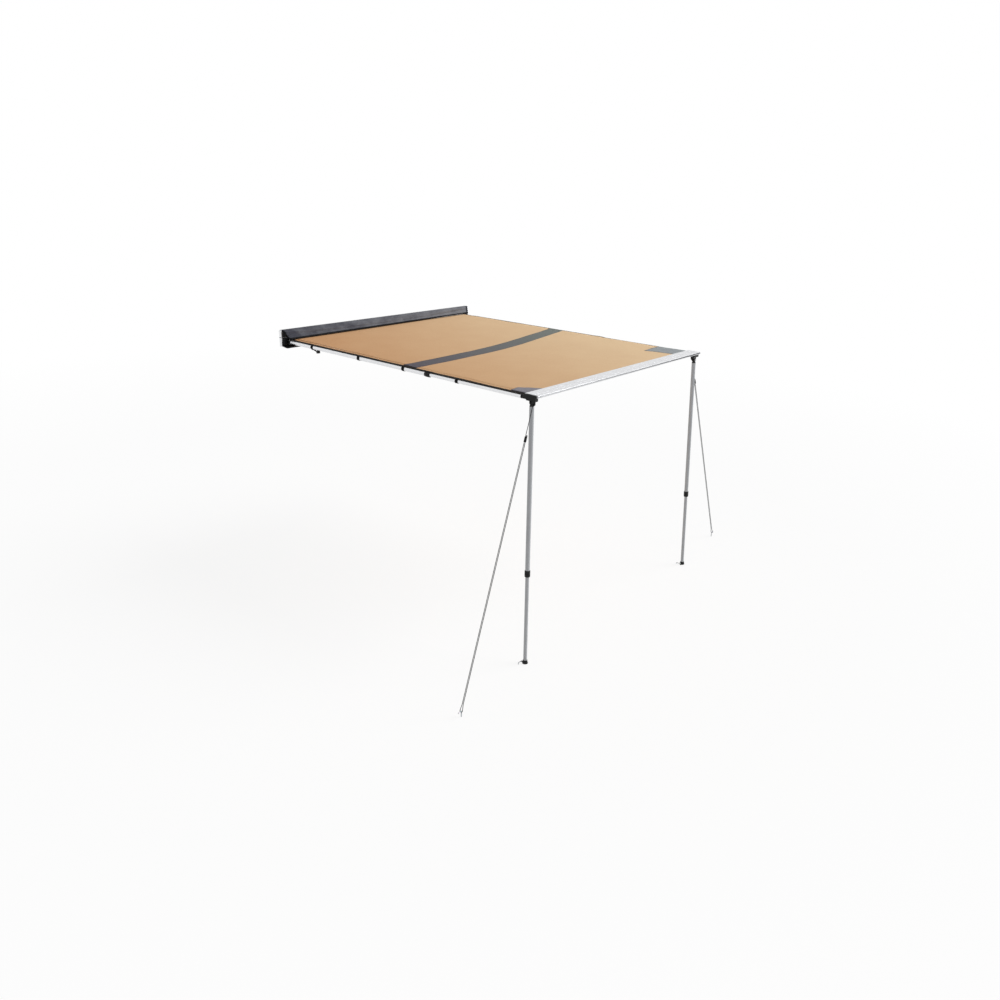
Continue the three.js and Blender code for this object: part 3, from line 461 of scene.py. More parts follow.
def painted_shadow_strip(name, slot, near, far):
    """Soft dark strip painted as the shadow line under the rail's front lip: a painted shadow, pale near the left end
    and dark near the right.
    """
    look = Look(name, slot, Specular_IOR_Level=0.2)
    where = look.place("object")
    # Painted shade: the strip's colour runs from pale at the left end to dark at the right, with random blotches.
    reached = look.math("MULTIPLY_ADD", look.parts(where)["X"], 0.45, 0.5)
    blotch = look.noise(where, 30.0, 4.0)
    reached = look.math("ADD", reached, look.math("MULTIPLY", look.math("SUBTRACT", blotch, 0.5), 0.2))
    colour = look.ramp(reached, (0.0, near), (1.0, far))
    return look.paint(colour, look.ramp(blotch, (0.3, 0.6), (0.7, 0.8)), blotch)


def moulded(name, slot, dark, light):
    """Moulded nylon with a fine grain and lighter rubbed spots."""
    look = Look(name, slot, Specular_IOR_Level=0.25)
    where = look.place("object")
    grain = look.noise(where, 1400.0, 2.0)
    rub = look.noise(where, 70.0, 5.0, 0.7)
    colour = look.ramp(rub, (0.45, dark), (0.75, light))
    return look.paint(colour, look.ramp(rub, (0.3, 0.42), (0.7, 0.62)), grain, 0.0001, 0.35)


def zinc(name, slot):
    """Zinc plated steel with a soft crystal mottle and dull spots."""
    look = Look(name, slot, Metallic=1.0)
    where = look.place("object")
    cells = look.node("TexVoronoi", {"Vector": where, "Scale": 380.0}).outputs["Color"]
    dull = look.noise(where, 120.0, 4.0)
    colour = look.mix(0.2, look.ramp(dull, (0.3, "8f9297"), (0.7, "c3c5c9")), cells, "OVERLAY")
    return look.paint(colour, look.ramp(dull, (0.3, 0.28), (0.7, 0.5)), dull, 0.0001, 0.3)


def braided(name, slot, dark, light):
    """Braided cord: two sets of strands that cross round it."""
    look = Look(name, slot, Specular_IOR_Level=0.12)
    cut = look.parts(look.place("cut"))
    angle = look.math("MULTIPLY", look.math("ARCTAN2", cut["Y"], cut["X"]), 4.0)
    along = look.math("MULTIPLY", cut["Z"], 2 * math.pi / 0.006)
    rising = look.math("SINE", look.math("ADD", angle, along))
    falling = look.math("SINE", look.math("SUBTRACT", angle, along))
    plait = look.math("MULTIPLY_ADD", look.math("MULTIPLY", rising, falling), 0.5, 0.5)
    fuzz = look.noise(look.place("cut"), 1500.0, 2.0)
    colour = look.ramp(look.math("ADD", look.math("MULTIPLY", plait, 0.5), look.math("MULTIPLY", fuzz, 0.5)),
                       (0.25, dark), (0.8, light))
    return look.paint(colour, look.ramp(fuzz, (0.2, 0.8), (0.8, 0.95)), plait, 0.0005, 0.8)


ALONG_X = (0.01, 1, 1)
ALONG_Z = (1, 1, 0.01)
# Each tuple gives the cloth's tone level, then its painted light and shade: how much lighter it is painted along X and
# forward. The gutter and edge cloths have none.
canvas = woven("tan_canvas", "canopy_cloth", "c7976a", "e8c89f", 0.0016, strength=0.25,
               level_and_painted_light=(0.30, 0.42, 0.20), mottle=0.4)
band_cloth = woven("band_cloth", "slate_cloth", "544f57", "767c76", 0.0016, level_and_painted_light=(0.45, 0.5, 0.0), mottle=0.5)
slate = woven("slate_cloth", "slate_cloth", "3e3f48", "787a80", 0.0016, patch_scale=7.0,
              level_and_painted_light=(0.52, 0.40, 0.0), mottle=2.0)
patch_cloth = woven("patch_cloth", "patch_cloth", "87848b", "9ca2a4", 0.0016, level_and_painted_light=(0.5, 0.5, 0.0),
                    mottle=0.4)
gutter_cloth = woven("gutter_cloth", "bag_cloth", "09090b", "1b1b1e", 0.0012, level_and_painted_light=(0.5, 0.0, 0.0))
edge_cloth = woven("edge_cloth", "slate_cloth", "2b2c33", "4a4b53", 0.0016, patch_scale=40.0,
                   level_and_painted_light=(0.5, 0.0, 0.0), mottle=2.5)
hem_webbing = webbed("hem_webbing", "hem_webbing", "0a0807", "221b17")
black_webbing = webbed("black_webbing", "black_webbing", "050506", "17171a")
thread_dark = webbed("dark_thread", "hem_webbing", "2a2624", "4a443f")
thread_grey = webbed("grey_thread", "patch_cloth", "6d6f78", "9a9ca4")
# The board's metal is painted darker than its end caps' of the same finish: painted shade, because the board lies
# under the flap.
shaded_board_metal = brushed("board_aluminium", "board_aluminium", "b4b6ba", "cfd1d4", "object", ALONG_X,
                      metal=0.7, rough=(0.42, 0.56), lined=True)
cap_metal = brushed("cap_aluminium", "board_aluminium", "dddee0", "ebecee", "object", ALONG_X)
rail_metal = brushed("rail_aluminium", "rail_aluminium", "d6d7da", "e8e9eb", "object", ALONG_X, metal=0.4)
arm_metal = brushed("arm_aluminium", "arm_tube", "e4e5e8", "f2f3f4", "cut", ALONG_Z, metal=0.8)
leg_metal = brushed("leg_aluminium", "leg_tube", "9c9ea1", "b4b6b9", "cut", ALONG_Z, metal=0.05)
rail_seal = painted_shadow_strip("rail_seal", "black_plastic", "d2d4d7", "232529")
black_nylon = moulded("black_nylon", "black_plastic", "070708", "18181a")
zinc_steel = zinc("zinc_steel", "steel")
rope_black = braided("black_braid", "rope_black", "040405", "151517")
rope_grey = braided("grey_braid", "rope_grey", "2a2b2e", "5b5d61")


# Mesh making

def piece(name, verts, faces, look, cut, body=ROOT, stands_for=(), sharp=None):
    """Object of its own mesh. Edges over sharp degrees stay sharp."""
    mesh = bpy.data.meshes.new(name)
    mesh.from_pydata([tuple(v) for v in verts], [], faces)
    layer = mesh.attributes.new("cut", "FLOAT_VECTOR", "POINT")
    layer.data.foreach_set("vector", np.array([tuple(c) for c in cut], float).ravel())
    mesh.polygons.foreach_set("use_smooth", [True] * len(mesh.polygons))
    if sharp is not None:
        mesh.set_sharp_from_angle(angle=math.radians(sharp))
    mesh.materials.append(look.material)
    made = add_object(name, mesh)
    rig.ride(made, body)
    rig.slot(made, look.slot)
    if stands_for:
        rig.replaces(made, *stands_for)
    return made


def steps(start, end, count):
    return [start + (end - start) * i / count for i in range(count + 1)]


def modify(made, name, kind, **settings):
    added = made.modifiers.new(name, kind)
    for key, value in settings.items():
        setattr(added, key, value)


def between(points, share):
    """The place that lies a share of the way along the steps of a line."""
    at = share * (len(points) - 1)
    i = min(int(at), len(points) - 2)
    return points[i].lerp(points[i + 1], at - i)


def ring_faces(rings, sides, closed):
    """Faces between rings of vertices, and from the last ring to the first one if closed."""
    return [(i * sides + k, i * sides + (k + 1) % sides,
             (i + 1) % rings * sides + (k + 1) % sides, (i + 1) % rings * sides + k)
            for i in range(rings if closed else rings - 1) for k in range(sides)]


def smooth_step(low, high, value):
    """0 below low, 1 above high and a soft rise between them."""
    share = min(max((value - low) / (high - low), 0), 1)
    return share * share * (3 - 2 * share)


def cloth_grid(name, look, point, across, along, thickness, **more):
    """Sheet over a grid of cut places (u, v), in metres. point(u, v) puts them in space."""
    verts = [point(u, v) for v in along for u in across]
    cut = [(u, v, 0) for v in along for u in across]
    row = len(across)
    faces = [(j * row + i, j * row + i + 1, (j + 1) * row + i + 1, (j + 1) * row + i)
             for j in range(len(along) - 1) for i in range(row - 1)]
    made = piece(name, verts, faces, look, cut, **more)
    modify(made, "thickness", "SOLIDIFY", thickness=thickness, offset=0)
    return made


def smooth_line(points, count):
    """Smooth curve through the given points, with its steps of about even length."""
    points = [Vector(p) for p in points]
    ends = [points[0] * 2 - points[1], *points, points[-1] * 2 - points[-2]]
    fine = []
    for a, b, c, d in zip(ends, ends[1:], ends[2:], ends[3:]):
        for t in steps(0, 1, 12)[:-1]:
            fine.append(0.5 * (2 * b + (c - a) * t + (2 * a - 5 * b + 4 * c - d) * t ** 2
                               + (3 * b - a - 3 * c + d) * t ** 3))
    fine.append(points[-1])
    return even_steps(fine, count)


def distances(points):
    reached = [0.0]
    for a, b in zip(points, points[1:]):
        reached.append(reached[-1] + (Vector(b) - Vector(a)).length)
    return reached


def even_steps(points, count):
    reached = distances(points)
    data = np.array([tuple(p) for p in points])
    wanted = np.linspace(0, reached[-1], count + 1)
    return [Vector([np.interp(w, reached, data[:, k]) for k in range(data.shape[1])]) for w in wanted]


def swept(points, radius, sides=16, closed=False):
    """Round tube along points: its vertices, faces and cut places (round, round, along)."""
    points = [Vector(p) for p in points]
    count = len(points)
    tangents = []
    for i, p in enumerate(points):
        before = points[(i - 1) % count] if closed or i else p
        after = points[(i + 1) % count] if closed or i < count - 1 else p
        tangents.append((after - before).normalized())
    side = tangents[0].orthogonal().normalized()
    reached = distances(points)
    verts, cut = [], []
    for i, (p, tangent) in enumerate(zip(points, tangents)):
        if i:
            side = (side - tangent * side.dot(tangent)).normalized()
        other = tangent.cross(side)
        for k in range(sides):
            angle = 2 * math.pi * k / sides
            u, v = radius * math.cos(angle), radius * math.sin(angle)
            verts.append(p + side * u + other * v)
            cut.append((u, v, reached[i]))
    faces = ring_faces(count, sides, closed)
    if not closed:
        faces += [tuple(range(sides))[::-1], tuple(range((count - 1) * sides, count * sides))]
    return verts, faces, cut


def turned(profile, matrix, count=TUBE_STEPS, bulge=None):
    """Closed profile (radius, height) turned about Z, then placed. bulge(angle, radius) is added."""
    verts, cut = [], []
    for r, z in profile:
        for k in range(count):
            angle = 2 * math.pi * k / count
            radius = r + (bulge(angle, r) if bulge else 0)
            local = Vector((radius * math.cos(angle), radius * math.sin(angle), z))
            verts.append(matrix @ local)
            cut.append(local)
    return verts, ring_faces(len(profile), count, True), cut


def frame_of(x, y, z, origin):
    turn = Matrix((Vector(x), Vector(y), Vector(z))).transposed().to_4x4()
    return Matrix.Translation(Vector(origin)) @ turn


def rounded_corner(before, corner, after, radius, count):
    """Points of a bend of the given radius between two straight runs."""
    come = (before - corner).normalized()
    go = (after - corner).normalized()
    half = come.angle(go) / 2
    centre = corner + (come + go).normalized() * (radius / math.sin(half))
    start = corner + come * (radius / math.tan(half)) - centre
    end = corner + go * (radius / math.tan(half)) - centre
    axis = start.cross(end).normalized()
    turn = start.angle(end)
    return [centre + Matrix.Rotation(turn * t, 3, axis) @ start for t in steps(0, 1, count)]


# Guy ropes

def knot(name, centre, axis, look):
    """Tight overhand knot round the rope's own line."""
    axis = Vector(axis).normalized()
    side = axis.orthogonal().normalized()
    place = frame_of(side, axis.cross(side), axis, centre)
    points = []
    for t in steps(0, 2 * math.pi, 48)[:-1]:
        local = Vector((math.sin(t) + 2 * math.sin(2 * t), math.cos(t) - 2 * math.cos(2 * t),
                        -1.6 * math.sin(3 * t)))
        points.append(place @ (local * KNOT_UNIT))
    verts, faces, cut = swept(points, ROPE_RADIUS * 0.8, 12, closed=True)
    return piece(name, verts, faces, look, cut)


def guy_route(side):
    """The rope's line, from its knot at the ear, round the peg and up to its knot above the runner."""
    ear_y = side.ear_inset - PROJECTION
    start = Vector((side.sign * (EAR_OUTER - EAR_THICKNESS - GAP - KNOT_RADIUS), ear_y, -EAR_DROP))
    top = Vector((side.sign * (EAR_OUTER + ROPE_LEAVE), ear_y, -EAR_DROP))
    loop = Vector((side.sign * (ARM_X + side.loop_past), -PROJECTION - side.loop_ahead, LOOP_HEIGHT + GROUND))
    slope = (loop - top).normalized()
    away = Vector((slope.x, slope.y, 0)).normalized()
    across = Vector((0, 0, 1)).cross(away)
    middle = loop - slope * LOOP_RADIUS

    def opening(hand, share):
        """A strand's place between the neck (share 0) and the loop (share 1)."""
        wide = RUNNER_HOLES / 2 + (LOOP_RADIUS - RUNNER_HOLES / 2) * smooth_step(0, 1, share)
        return middle - slope * (LOOP_NECK * (1 - share)) + across * (hand * wide)

    neck = opening(-1, 0)
    down = (neck - top).normalized()
    aside = (across - down * across.dot(down)).normalized()
    runner = top + down * RUNNER_DOWN + aside * (RUNNER_HOLES / 2)
    end = runner + aside * (RUNNER_HOLES / 2) - down * (RUNNER_LENGTH / 2 + GAP + KNOT_RADIUS)
    route = [start, *rounded_corner(start, top, neck, ROPE_BEND, 8)]
    route += [opening(-1, i / 16) for i in range(16)]
    route += [middle - across * (LOOP_RADIUS * math.cos(a)) + slope * (LOOP_RADIUS * math.sin(a))
              for a in steps(0, math.pi, 16)]
    route += [opening(1, i / 16) for i in range(15, -1, -1)]
    route.append(end)
    return route, down, away, loop


def guy(side, look):
    route, down, away, loop = guy_route(side)
    verts, faces, cut = swept(route, ROPE_RADIUS, 12)
    rope = piece(f"guy_cord_{side.name}", verts, faces, look, cut, stands_for=[f"guy_rope_{side.name}"])
    knots = [
        knot(f"ear_knot_{side.name}", route[0], route[1] - route[0], look),
        knot(f"runner_knot_{side.name}", route[-1], down, look),
    ]
    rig.cord(rope, exit=route[0], length=side.rope_length, diameter=2 * ROPE_RADIUS, far_end="knot",
            stiffness="limp", lay="taut", path=route, with_pieces=[*knots, nodes[f"guy_runner_{side.name}"]])
    foot = loop - away * (ROPE_RADIUS + GAP + PEG_RADIUS)
    foot.z = GROUND
    low, corner = foot + Vector((0, 0, -PEG_BELOW)), foot + Vector((0, 0, PEG_ABOVE))
    tip = foot + Vector((0, 0, PEG_TIP - PEG_BELOW))
    arm_end = corner + away * PEG_ARM
    line = [tip, foot, *rounded_corner(foot, corner, arm_end, PEG_BEND, 10), arm_end]
    verts, faces, cut = swept(line, PEG_RADIUS, PEG_SIDES)
    point = len(verts)
    verts.append(low)
    cut.append((0, 0, 0))
    faces = [f for f in faces if f != tuple(range(PEG_SIDES))[::-1]]
    faces += [(point, (k + 1) % PEG_SIDES, k) for k in range(PEG_SIDES)]
    name = f"guy_peg_{side.name}"
    piece(f"guy_pin_{side.name}", verts, faces, zinc_steel, cut, name, [name], 50)


for side, look in ((LEFT, rope_black), (RIGHT, rope_grey)):
    guy(side, look)


# Canopy

def canopy_height(x, y):
    """Height of the cloth's middle layer: it hangs a little between its edges and its straps."""
    share = min(abs(x) / HEM_OUTER, 1.0)
    length = CLOTH_FRONT - CLOTH_REAR
    run = min(max((-y - CLOTH_REAR) / length, 0.0), 1.0)
    bowl = math.sin(math.pi * run)
    drop = CLOTH_SAG * (1 - share ** 2) * bowl
    holds = [CLOTH_REAR, *STRAP_PLACES, CLOTH_FRONT]
    for a, b in zip(holds, holds[1:]):
        if a <= -y <= b:
            swing = math.sin(math.pi * (-y - a) / (b - a)) ** 2
            drop += HEM_SAG * swing * ((b - a) / 0.5) * share ** 6
    folds = 0.0
    edge = min(1.0, run / 0.05, (1 - run) / 0.05) * min(1.0, (1 - share) / 0.04)
    for sign in (-1, 1):
        for hold, strength in [(place, STRAP_PULL) for place in STRAP_PLACES] + [(CLOTH_FRONT, RAIL_PULL)]:
            dx, dy = HEM_OUTER - sign * x, -y - hold
            far = math.hypot(dx, dy)
            folds += strength * math.exp(-far / PULL_REACH) * math.cos(math.atan2(dy, dx) * PULL_FOLDS)
    folds += 0.003 * noise.noise(Vector((x * 1.7, y * 1.1, 0.3)))
    folds += 0.0008 * noise.noise(Vector((x * 6, y * 2.5, 4.1)))
    return -CLOTH_DROP - drop + folds * edge


def canopy_point(u, v, lift=0.0):
    return (u, -v, canopy_height(u, -v) + lift)


canopy = cloth_grid("canopy_cloth", canvas, canopy_point, steps(-CLOTH_HALF, CLOTH_HALF, 112),
                    steps(CLOTH_REAR, CLOTH_FRONT, 136), CANVAS, stands_for=["canopy"])
beads = []
for name, place in (("rear", CLOTH_REAR), ("front", CLOTH_FRONT)):
    rod = [(x, -place, -CLOTH_DROP) for x in (-CLOTH_HALF, CLOTH_HALF)]
    verts, faces, cut = swept(rod, BEAD_RADIUS)
    beads.append(piece(f"canopy_bead_{name}", verts, faces, canvas, cut, sharp=50))
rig.sheet(canopy, flat=(2 * CLOTH_HALF, CLOTH_FRONT - CLOTH_REAR), held="stretched",
         rests_on=["back_board", "front_rail", "side_hem_left", "side_hem_right"], with_pieces=beads)

TRIM_LIFT = CANVAS / 2 + TRIM_GAP + TRIM / 2

# Stitches: half their width, their rise and sink, and half their length as a share of a step
STITCH_HALF = 0.0005
STITCH_UP = 0.0004
STITCH_DOWN = 0.0003
STITCH_SHARE = 0.56


def stitches(name, look, lines, lift, up=(0, 0, 1), pitch=0.006):
    """Rows of sewn stitches along lines of points, lying on the surface."""
    up = Vector(up).normalized()
    verts, faces, cut = [], [], []
    for line in lines:
        reached = distances(line)
        count = max(int(reached[-1] / pitch), 1)
        points = even_steps(line, count * 2)
        for i in range(0, 2 * count - 1, 2):
            a, b = points[i], points[i + 1]
            along = (b - a).normalized()
            aside = along.cross(up).normalized() * STITCH_HALF
            middle = (a + b) / 2 + up * lift
            first = len(verts)
            half = (b - a) * STITCH_SHARE
            corners = [middle - half, middle + aside, middle + half, middle - aside,
                       middle + up * STITCH_UP, middle - up * STITCH_DOWN]
            verts += corners
            cut += [(k * 0.001, i * 0.003, 0) for k in range(6)]
            faces += [(first + p, first + q, first + 4) for p, q in ((0, 1), (1, 2), (2, 3), (3, 0))]
            faces += [(first + q, first + p, first + 5) for p, q in ((0, 1), (1, 2), (2, 3), (3, 0))]
    return piece(name, verts, faces, look, cut)


# Centre band
BAND_PLACES = (-1, -0.124, 1)
BAND_SHARES = (0.5256, 0.4956, 0.424)
BAND_WIDTHS = (0.126, 0.138, 0.140)
BAND_FLAT = (2.01, 0.141)


def across_band(values, x):
    """Parabola through the values at the band's three places."""
    return float(np.polyval(np.polyfit(BAND_PLACES, values, 2), x / HEM_OUTER))


def band_rear(x):
    return across_band([share * PROJECTION for share in BAND_SHARES], x)


def band_width(x):
    return across_band(BAND_WIDTHS, x)


def band_point(u, v):
    return canopy_point(u, band_rear(u) + v * band_width(u) / BAND_WIDTHS[1], TRIM_LIFT)


band = cloth_grid("centre_band", band_cloth, band_point, steps(-HEM_OUTER, HEM_OUTER, 120),
                  steps(0, BAND_WIDTHS[1], 10), TRIM, stands_for=["canopy_centre_band"])
band_rows = [[Vector(band_point(u, v)) for u in steps(0.004 - HEM_OUTER, HEM_OUTER - 0.004, 200)]
             for v in (0.004, 0.010, BAND_WIDTHS[1] - 0.010, BAND_WIDTHS[1] - 0.004)]
band_thread = stitches("centre_band_stitching", thread_dark, band_rows, TRIM / 2)
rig.sheet(band, flat=BAND_FLAT, held="stretched", rests_on=["canopy_cloth"], with_pieces=[band_thread])


# Corner patches
PATCH_FRONT = RAIL_REAR - GAP
PATCHES = {
    "left": ((-1, 0.9072), (-0.9147, 0.9048), (-0.8244, 1)),
    "right": ((1, 0.858), (0.7533, 0.8636), (0.7949, 1)),
}


def patch_piece(name, shares):
    corners = [Vector((x * HEM_OUTER, min(y * PROJECTION, PATCH_FRONT))) for x, y in shares]
    corners.append(Vector((corners[0].x, PATCH_FRONT)))
    outer_rear, inner_rear, inner_front, outer_front = corners
    width = (inner_front - outer_front).length
    length = (outer_front - outer_rear).length

    def point(u, v):
        rear = outer_rear.lerp(inner_rear, u / width)
        place = rear.lerp(outer_front.lerp(inner_front, u / width), v / length)
        return canopy_point(place.x, place.y, TRIM_LIFT)

    made = cloth_grid(f"corner_patch_cloth_{name}", patch_cloth, point, steps(0, width, 16),
                      steps(0, length, 16), TRIM, stands_for=[f"corner_patch_{name}"])
    rows = []
    for inset in (0.004, 0.009):
        rows.append([Vector(point(u, inset)) for u in steps(inset, width - inset, 20)])
        rows.append([Vector(point(width - inset, v)) for v in steps(inset, length, 20)])
        rows.append([Vector(point(inset, v)) for v in steps(inset, length, 20)])
    thread = stitches(f"corner_patch_stitching_{name}", thread_grey, rows, TRIM / 2)
    halves = ((inner_rear - outer_rear).cross(outer_front - outer_rear),
              (inner_rear - inner_front).cross(outer_front - inner_front))
    area = sum(abs(half) for half in halves) / 2
    widest = max(width, (inner_rear - outer_rear).length)
    longest = max(length, (inner_front - inner_rear).length)
    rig.sheet(made, flat=(widest, longest), held="stretched", rests_on=["canopy_cloth"], area=area,
             with_pieces=[thread])


for name, shares in PATCHES.items():
    patch_piece(name, shares)


# Side hems: the cloth's folded edge, bound in webbing that laps over the arm
HEM_REAR = BOARD_DEPTH + 0.0108
HEM_FRONT = RAIL_REAR - GAP
HEM_CUT = 0.050
HEM_FOLD = 0.0255
HEM_TURN = math.radians(31)
HEM_LIFT = 0.0033
HEM_COLLAR_LIFT = 0.0011
HEM_ROWS = 400
HEM_HALF_STEP = 0.003
HALF_HEM = 8


def hem_line(v):
    """Where the cloth's edge starts, seen from the arm's line, and the radius and start of its arc."""
    start = Vector((HEM_INNER - ARM_X, canopy_height(HEM_INNER, -v) + ARM_DROP))
    bulge = math.exp(-((v - ARM_COLLAR) / 0.04) ** 4)
    radius = OUTER_RADIUS + HEM_LIFT
    radius -= (OUTER_RADIUS - INNER_RADIUS) * smooth_step(0.02, 0.06, v - ARM_COLLAR)
    radius += (COLLAR_RADIUS + HEM_COLLAR_LIFT - radius) * bulge
    turn = math.acos(radius / start.length) - math.atan2(-start.x, start.y)
    return start, radius, turn


def hem_lapped(u, v):
    """The hem's section, straight from the cloth to the arm and then round it."""
    start, radius, turn = hem_line(v)
    touch = Vector((math.sin(turn), math.cos(turn))) * radius
    run = (touch - start).length
    reached = u / HEM_CUT * (run + radius * (HEM_TURN - turn))
    if reached < run:
        return start.lerp(touch, reached / run)
    angle = turn + (reached - run) / radius
    return Vector((math.sin(angle), math.cos(angle))) * radius


for side in SIDES:
    bracket = -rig.box(f"arm_bracket_{side.name}")[0].y

    def hem_point(u, v):
        x, y, z = canopy_point(HEM_INNER + u / HEM_CUT * (HEM_OUTER - HEM_INNER), v)
        lapped = smooth_step(bracket + 0.002, bracket + 0.06, v)
        place = Vector((x - ARM_X, z + ARM_DROP)).lerp(hem_lapped(u, v), lapped)
        return (side.sign * (ARM_X + place.x), y, place.y - ARM_DROP)

    widths = [*steps(0, HEM_FOLD, HALF_HEM), *steps(HEM_FOLD, HEM_CUT, HALF_HEM)[1:]]
    across = widths if side.sign > 0 else widths[::-1]
    along = steps(HEM_REAR, HEM_FRONT, HEM_ROWS)
    hem = cloth_grid(f"hem_webbing_{side.name}", hem_webbing, hem_point, across, along, CANVAS,
                     stands_for=[f"side_hem_{side.name}"])
    for look in (canvas, band_cloth, patch_cloth):
        hem.data.materials.append(look.material)
    folded = range(HALF_HEM) if side.sign > 0 else range(HALF_HEM, 2 * HALF_HEM)
    band_start = band_rear(side.sign * HEM_OUTER)
    band_end = band_start + band_width(side.sign * HEM_OUTER)
    patch_start = PATCHES[side.name][0][1] * PROJECTION

    def cloth_here(v):
        if v > patch_start:
            return 3
        return 2 if band_start < v < band_end else 1

    chosen = [cloth_here(v + HEM_HALF_STEP) if i in folded else 0
              for v in along[:-1] for i in range(2 * HALF_HEM)]
    hem.data.polygons.foreach_set("material_index", chosen)
    rows = [[Vector(hem_point(u, v)) for v in steps(HEM_REAR + 0.01, HEM_FRONT - 0.01, 240)]
            for u in (0.004, HEM_FOLD - 0.003)]
    thread = stitches(f"hem_stitching_{side.name}", thread_dark, rows, CANVAS / 2 - 0.0001)
    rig.sheet(hem, flat=(HEM_CUT, HEM_FRONT - HEM_REAR), held="stretched",
             rests_on=[f"arm_webbing_{side.name}_{i}" for i in (1, 2, 3, 4)], with_pieces=[thread])


# Bag cover flap
FLAP_LEFT = 0.031 - BOARD_HALF
FLAP_RIGHT = BOARD_HALF - 0.025
FLAP_REACH = (0.104, 0.050)
FLAP_CLOTH = 0.0012
FLAP_TOP = BOARD_TOP + GAP + 0.0012
FLAP_LENGTH = 0.140
FLAP_SLANT = 0.024
FLAP_SLANT_RUN = 0.22
FLAP_FLAT = (2.055, 0.140)
FLAP_AREA = 0.24
END_TAPES = (0.022, 0.020)
TAPE = 0.0009


def flap_section(along):
    reach = FLAP_REACH[0] + (FLAP_REACH[1] - FLAP_REACH[0]) * along
    span = reach - BOARD_DEPTH
    line = [
        (-0.0025, FLAP_TOP),
        (-BOARD_DEPTH * 0.6, FLAP_TOP),
        (-BOARD_DEPTH - 0.0015, FLAP_TOP - 0.0004),
        (-BOARD_DEPTH - span / 4, FLAP_TOP - 0.009),
        (-BOARD_DEPTH - span / 2, FLAP_TOP / 2 + 0.0045),
        (-BOARD_DEPTH - span * 7 / 8, 0.0112),
        (-reach, 0.0022),
    ]
    return smooth_line(line, 40)


def flap_fold(x, down):
    """Folds of the slack cloth: the distance out of its surface at x, a share down of its length."""
    along = (x - FLAP_LEFT) / (FLAP_RIGHT - FLAP_LEFT)
    loose = math.sin(math.pi * min(max((down - 0.22) / 0.76, 0), 1)) ** 0.8
    size = 0.6 + 0.4 * (1 - along)
    folds = 0.0
    for start, slope, width, depth in ((0.42, 1.1, 0.07, 0.0040), (0.62, 0.5, 0.06, -0.0032),
                                       (0.5, -0.25, 0.09, 0.0028), (0.78, -0.15, 0.06, -0.0020)):
        ridge = (down - start - slope * along * (1 - along)) / width
        folds += depth * math.exp(-ridge * ridge)
    folds += 0.0042 * noise.noise(Vector((x * 4.2, down * 2.6, 1.7)))
    folds += 0.0015 * noise.noise(Vector((x * 14, down * 5, 7.7)))
    return folds * loose * size


flap_rows = {}


def flap_point(u, v, lift=0.0):
    """u runs along the board and v down the flap's line, both in metres."""
    key = round(u, 6)
    if key not in flap_rows:
        line = flap_section((u - FLAP_LEFT) / (FLAP_RIGHT - FLAP_LEFT))
        slopes = [(b - a).normalized() for a, b in zip([line[0], *line], [*line[1:], line[-1]])]
        flap_rows[key] = (line, slopes)
    line, slopes = flap_rows[key]
    share = min(max(v / FLAP_LENGTH, 0), 1)
    slope = between(slopes, share).normalized()
    out = Vector((slope.y, -slope.x))
    if out.y < 0:
        out = -out
    place = between(line, share) + out * (flap_fold(u, share) + lift)
    near_end = min(max((FLAP_LEFT + FLAP_SLANT_RUN - u) / FLAP_SLANT_RUN, 0), 1)
    slant = FLAP_SLANT * (1 - share) * near_end
    return (u - slant, place.x, place.y)


flap = cloth_grid("cover_flap_cloth", slate, flap_point, steps(FLAP_LEFT, FLAP_RIGHT, 180),
                  steps(0, FLAP_LENGTH, 40), FLAP_CLOTH, stands_for=["bag_cover_flap"])


def flap_tape(name, look, across, along):
    lift = FLAP_CLOTH / 2 + 0.0007
    return cloth_grid(name, look, lambda u, v: flap_point(u, v, lift), across, along, TAPE)


BINDING = 0.015
tape_run = steps(0.02, FLAP_LENGTH - BINDING - 0.001, 34)
flap_pieces = [
    flap_tape("flap_front_binding", black_webbing, steps(FLAP_LEFT, FLAP_RIGHT, 180),
              steps(FLAP_LENGTH - BINDING, FLAP_LENGTH, 4)),
    flap_tape("flap_end_tape_left", edge_cloth, steps(FLAP_LEFT, FLAP_LEFT + END_TAPES[0], 4), tape_run),
    flap_tape("flap_end_tape_right", edge_cloth, steps(FLAP_RIGHT - END_TAPES[1], FLAP_RIGHT, 4), tape_run),
]
flap_rows_sewn = [[Vector(flap_point(u, v)) for u in steps(FLAP_LEFT + 0.005, FLAP_RIGHT - 0.005, 260)]
                  for v in (0.024, FLAP_LENGTH - BINDING - 0.006)]
flap_pieces.append(stitches("flap_stitching", thread_dark, flap_rows_sewn, FLAP_CLOTH / 2,
                            up=(0, -0.5, 0.8)))
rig.sheet(flap, flat=FLAP_FLAT, held="draped", rests_on=["back_board"], area=FLAP_AREA,
         with_pieces=flap_pieces)


# Gutter panel below the board
PANEL_HALF = BOARD_HALF - 0.010
PANEL_BACK = -BOARD_DEPTH - GAP - 0.0011
PANEL_REACH = 0.116
PANEL_CLOTH = 0.0014


def panel_line():
    foot = -BOARD_TOP
    span = PANEL_REACH - BOARD_DEPTH
    return smooth_line([
        (PANEL_BACK, foot + 0.014),
        (PANEL_BACK, foot + 0.007),
        (PANEL_BACK - 0.0004, foot + 0.001),
        (-BOARD_DEPTH - span / 6, foot - 0.0018),
        (-BOARD_DEPTH - span / 2, foot - 0.004),
        (-BOARD_DEPTH - span * 3 / 4, foot - 0.0018),
        (-PANEL_REACH, foot + 0.011),
    ], 36)


PANEL = panel_line()
PANEL_CUT = distances(PANEL)[-1]


def panel_point(u, v):
    share = v / PANEL_CUT
    place = between(PANEL, share)
    loose = math.sin(math.pi * min(max((share - 0.25) / 0.72, 0), 1))
    drop = loose * (0.0016 + 0.003 * noise.noise(Vector((u * 3.5, share * 2, 9.2))))
    return (u, place.x, place.y - drop)


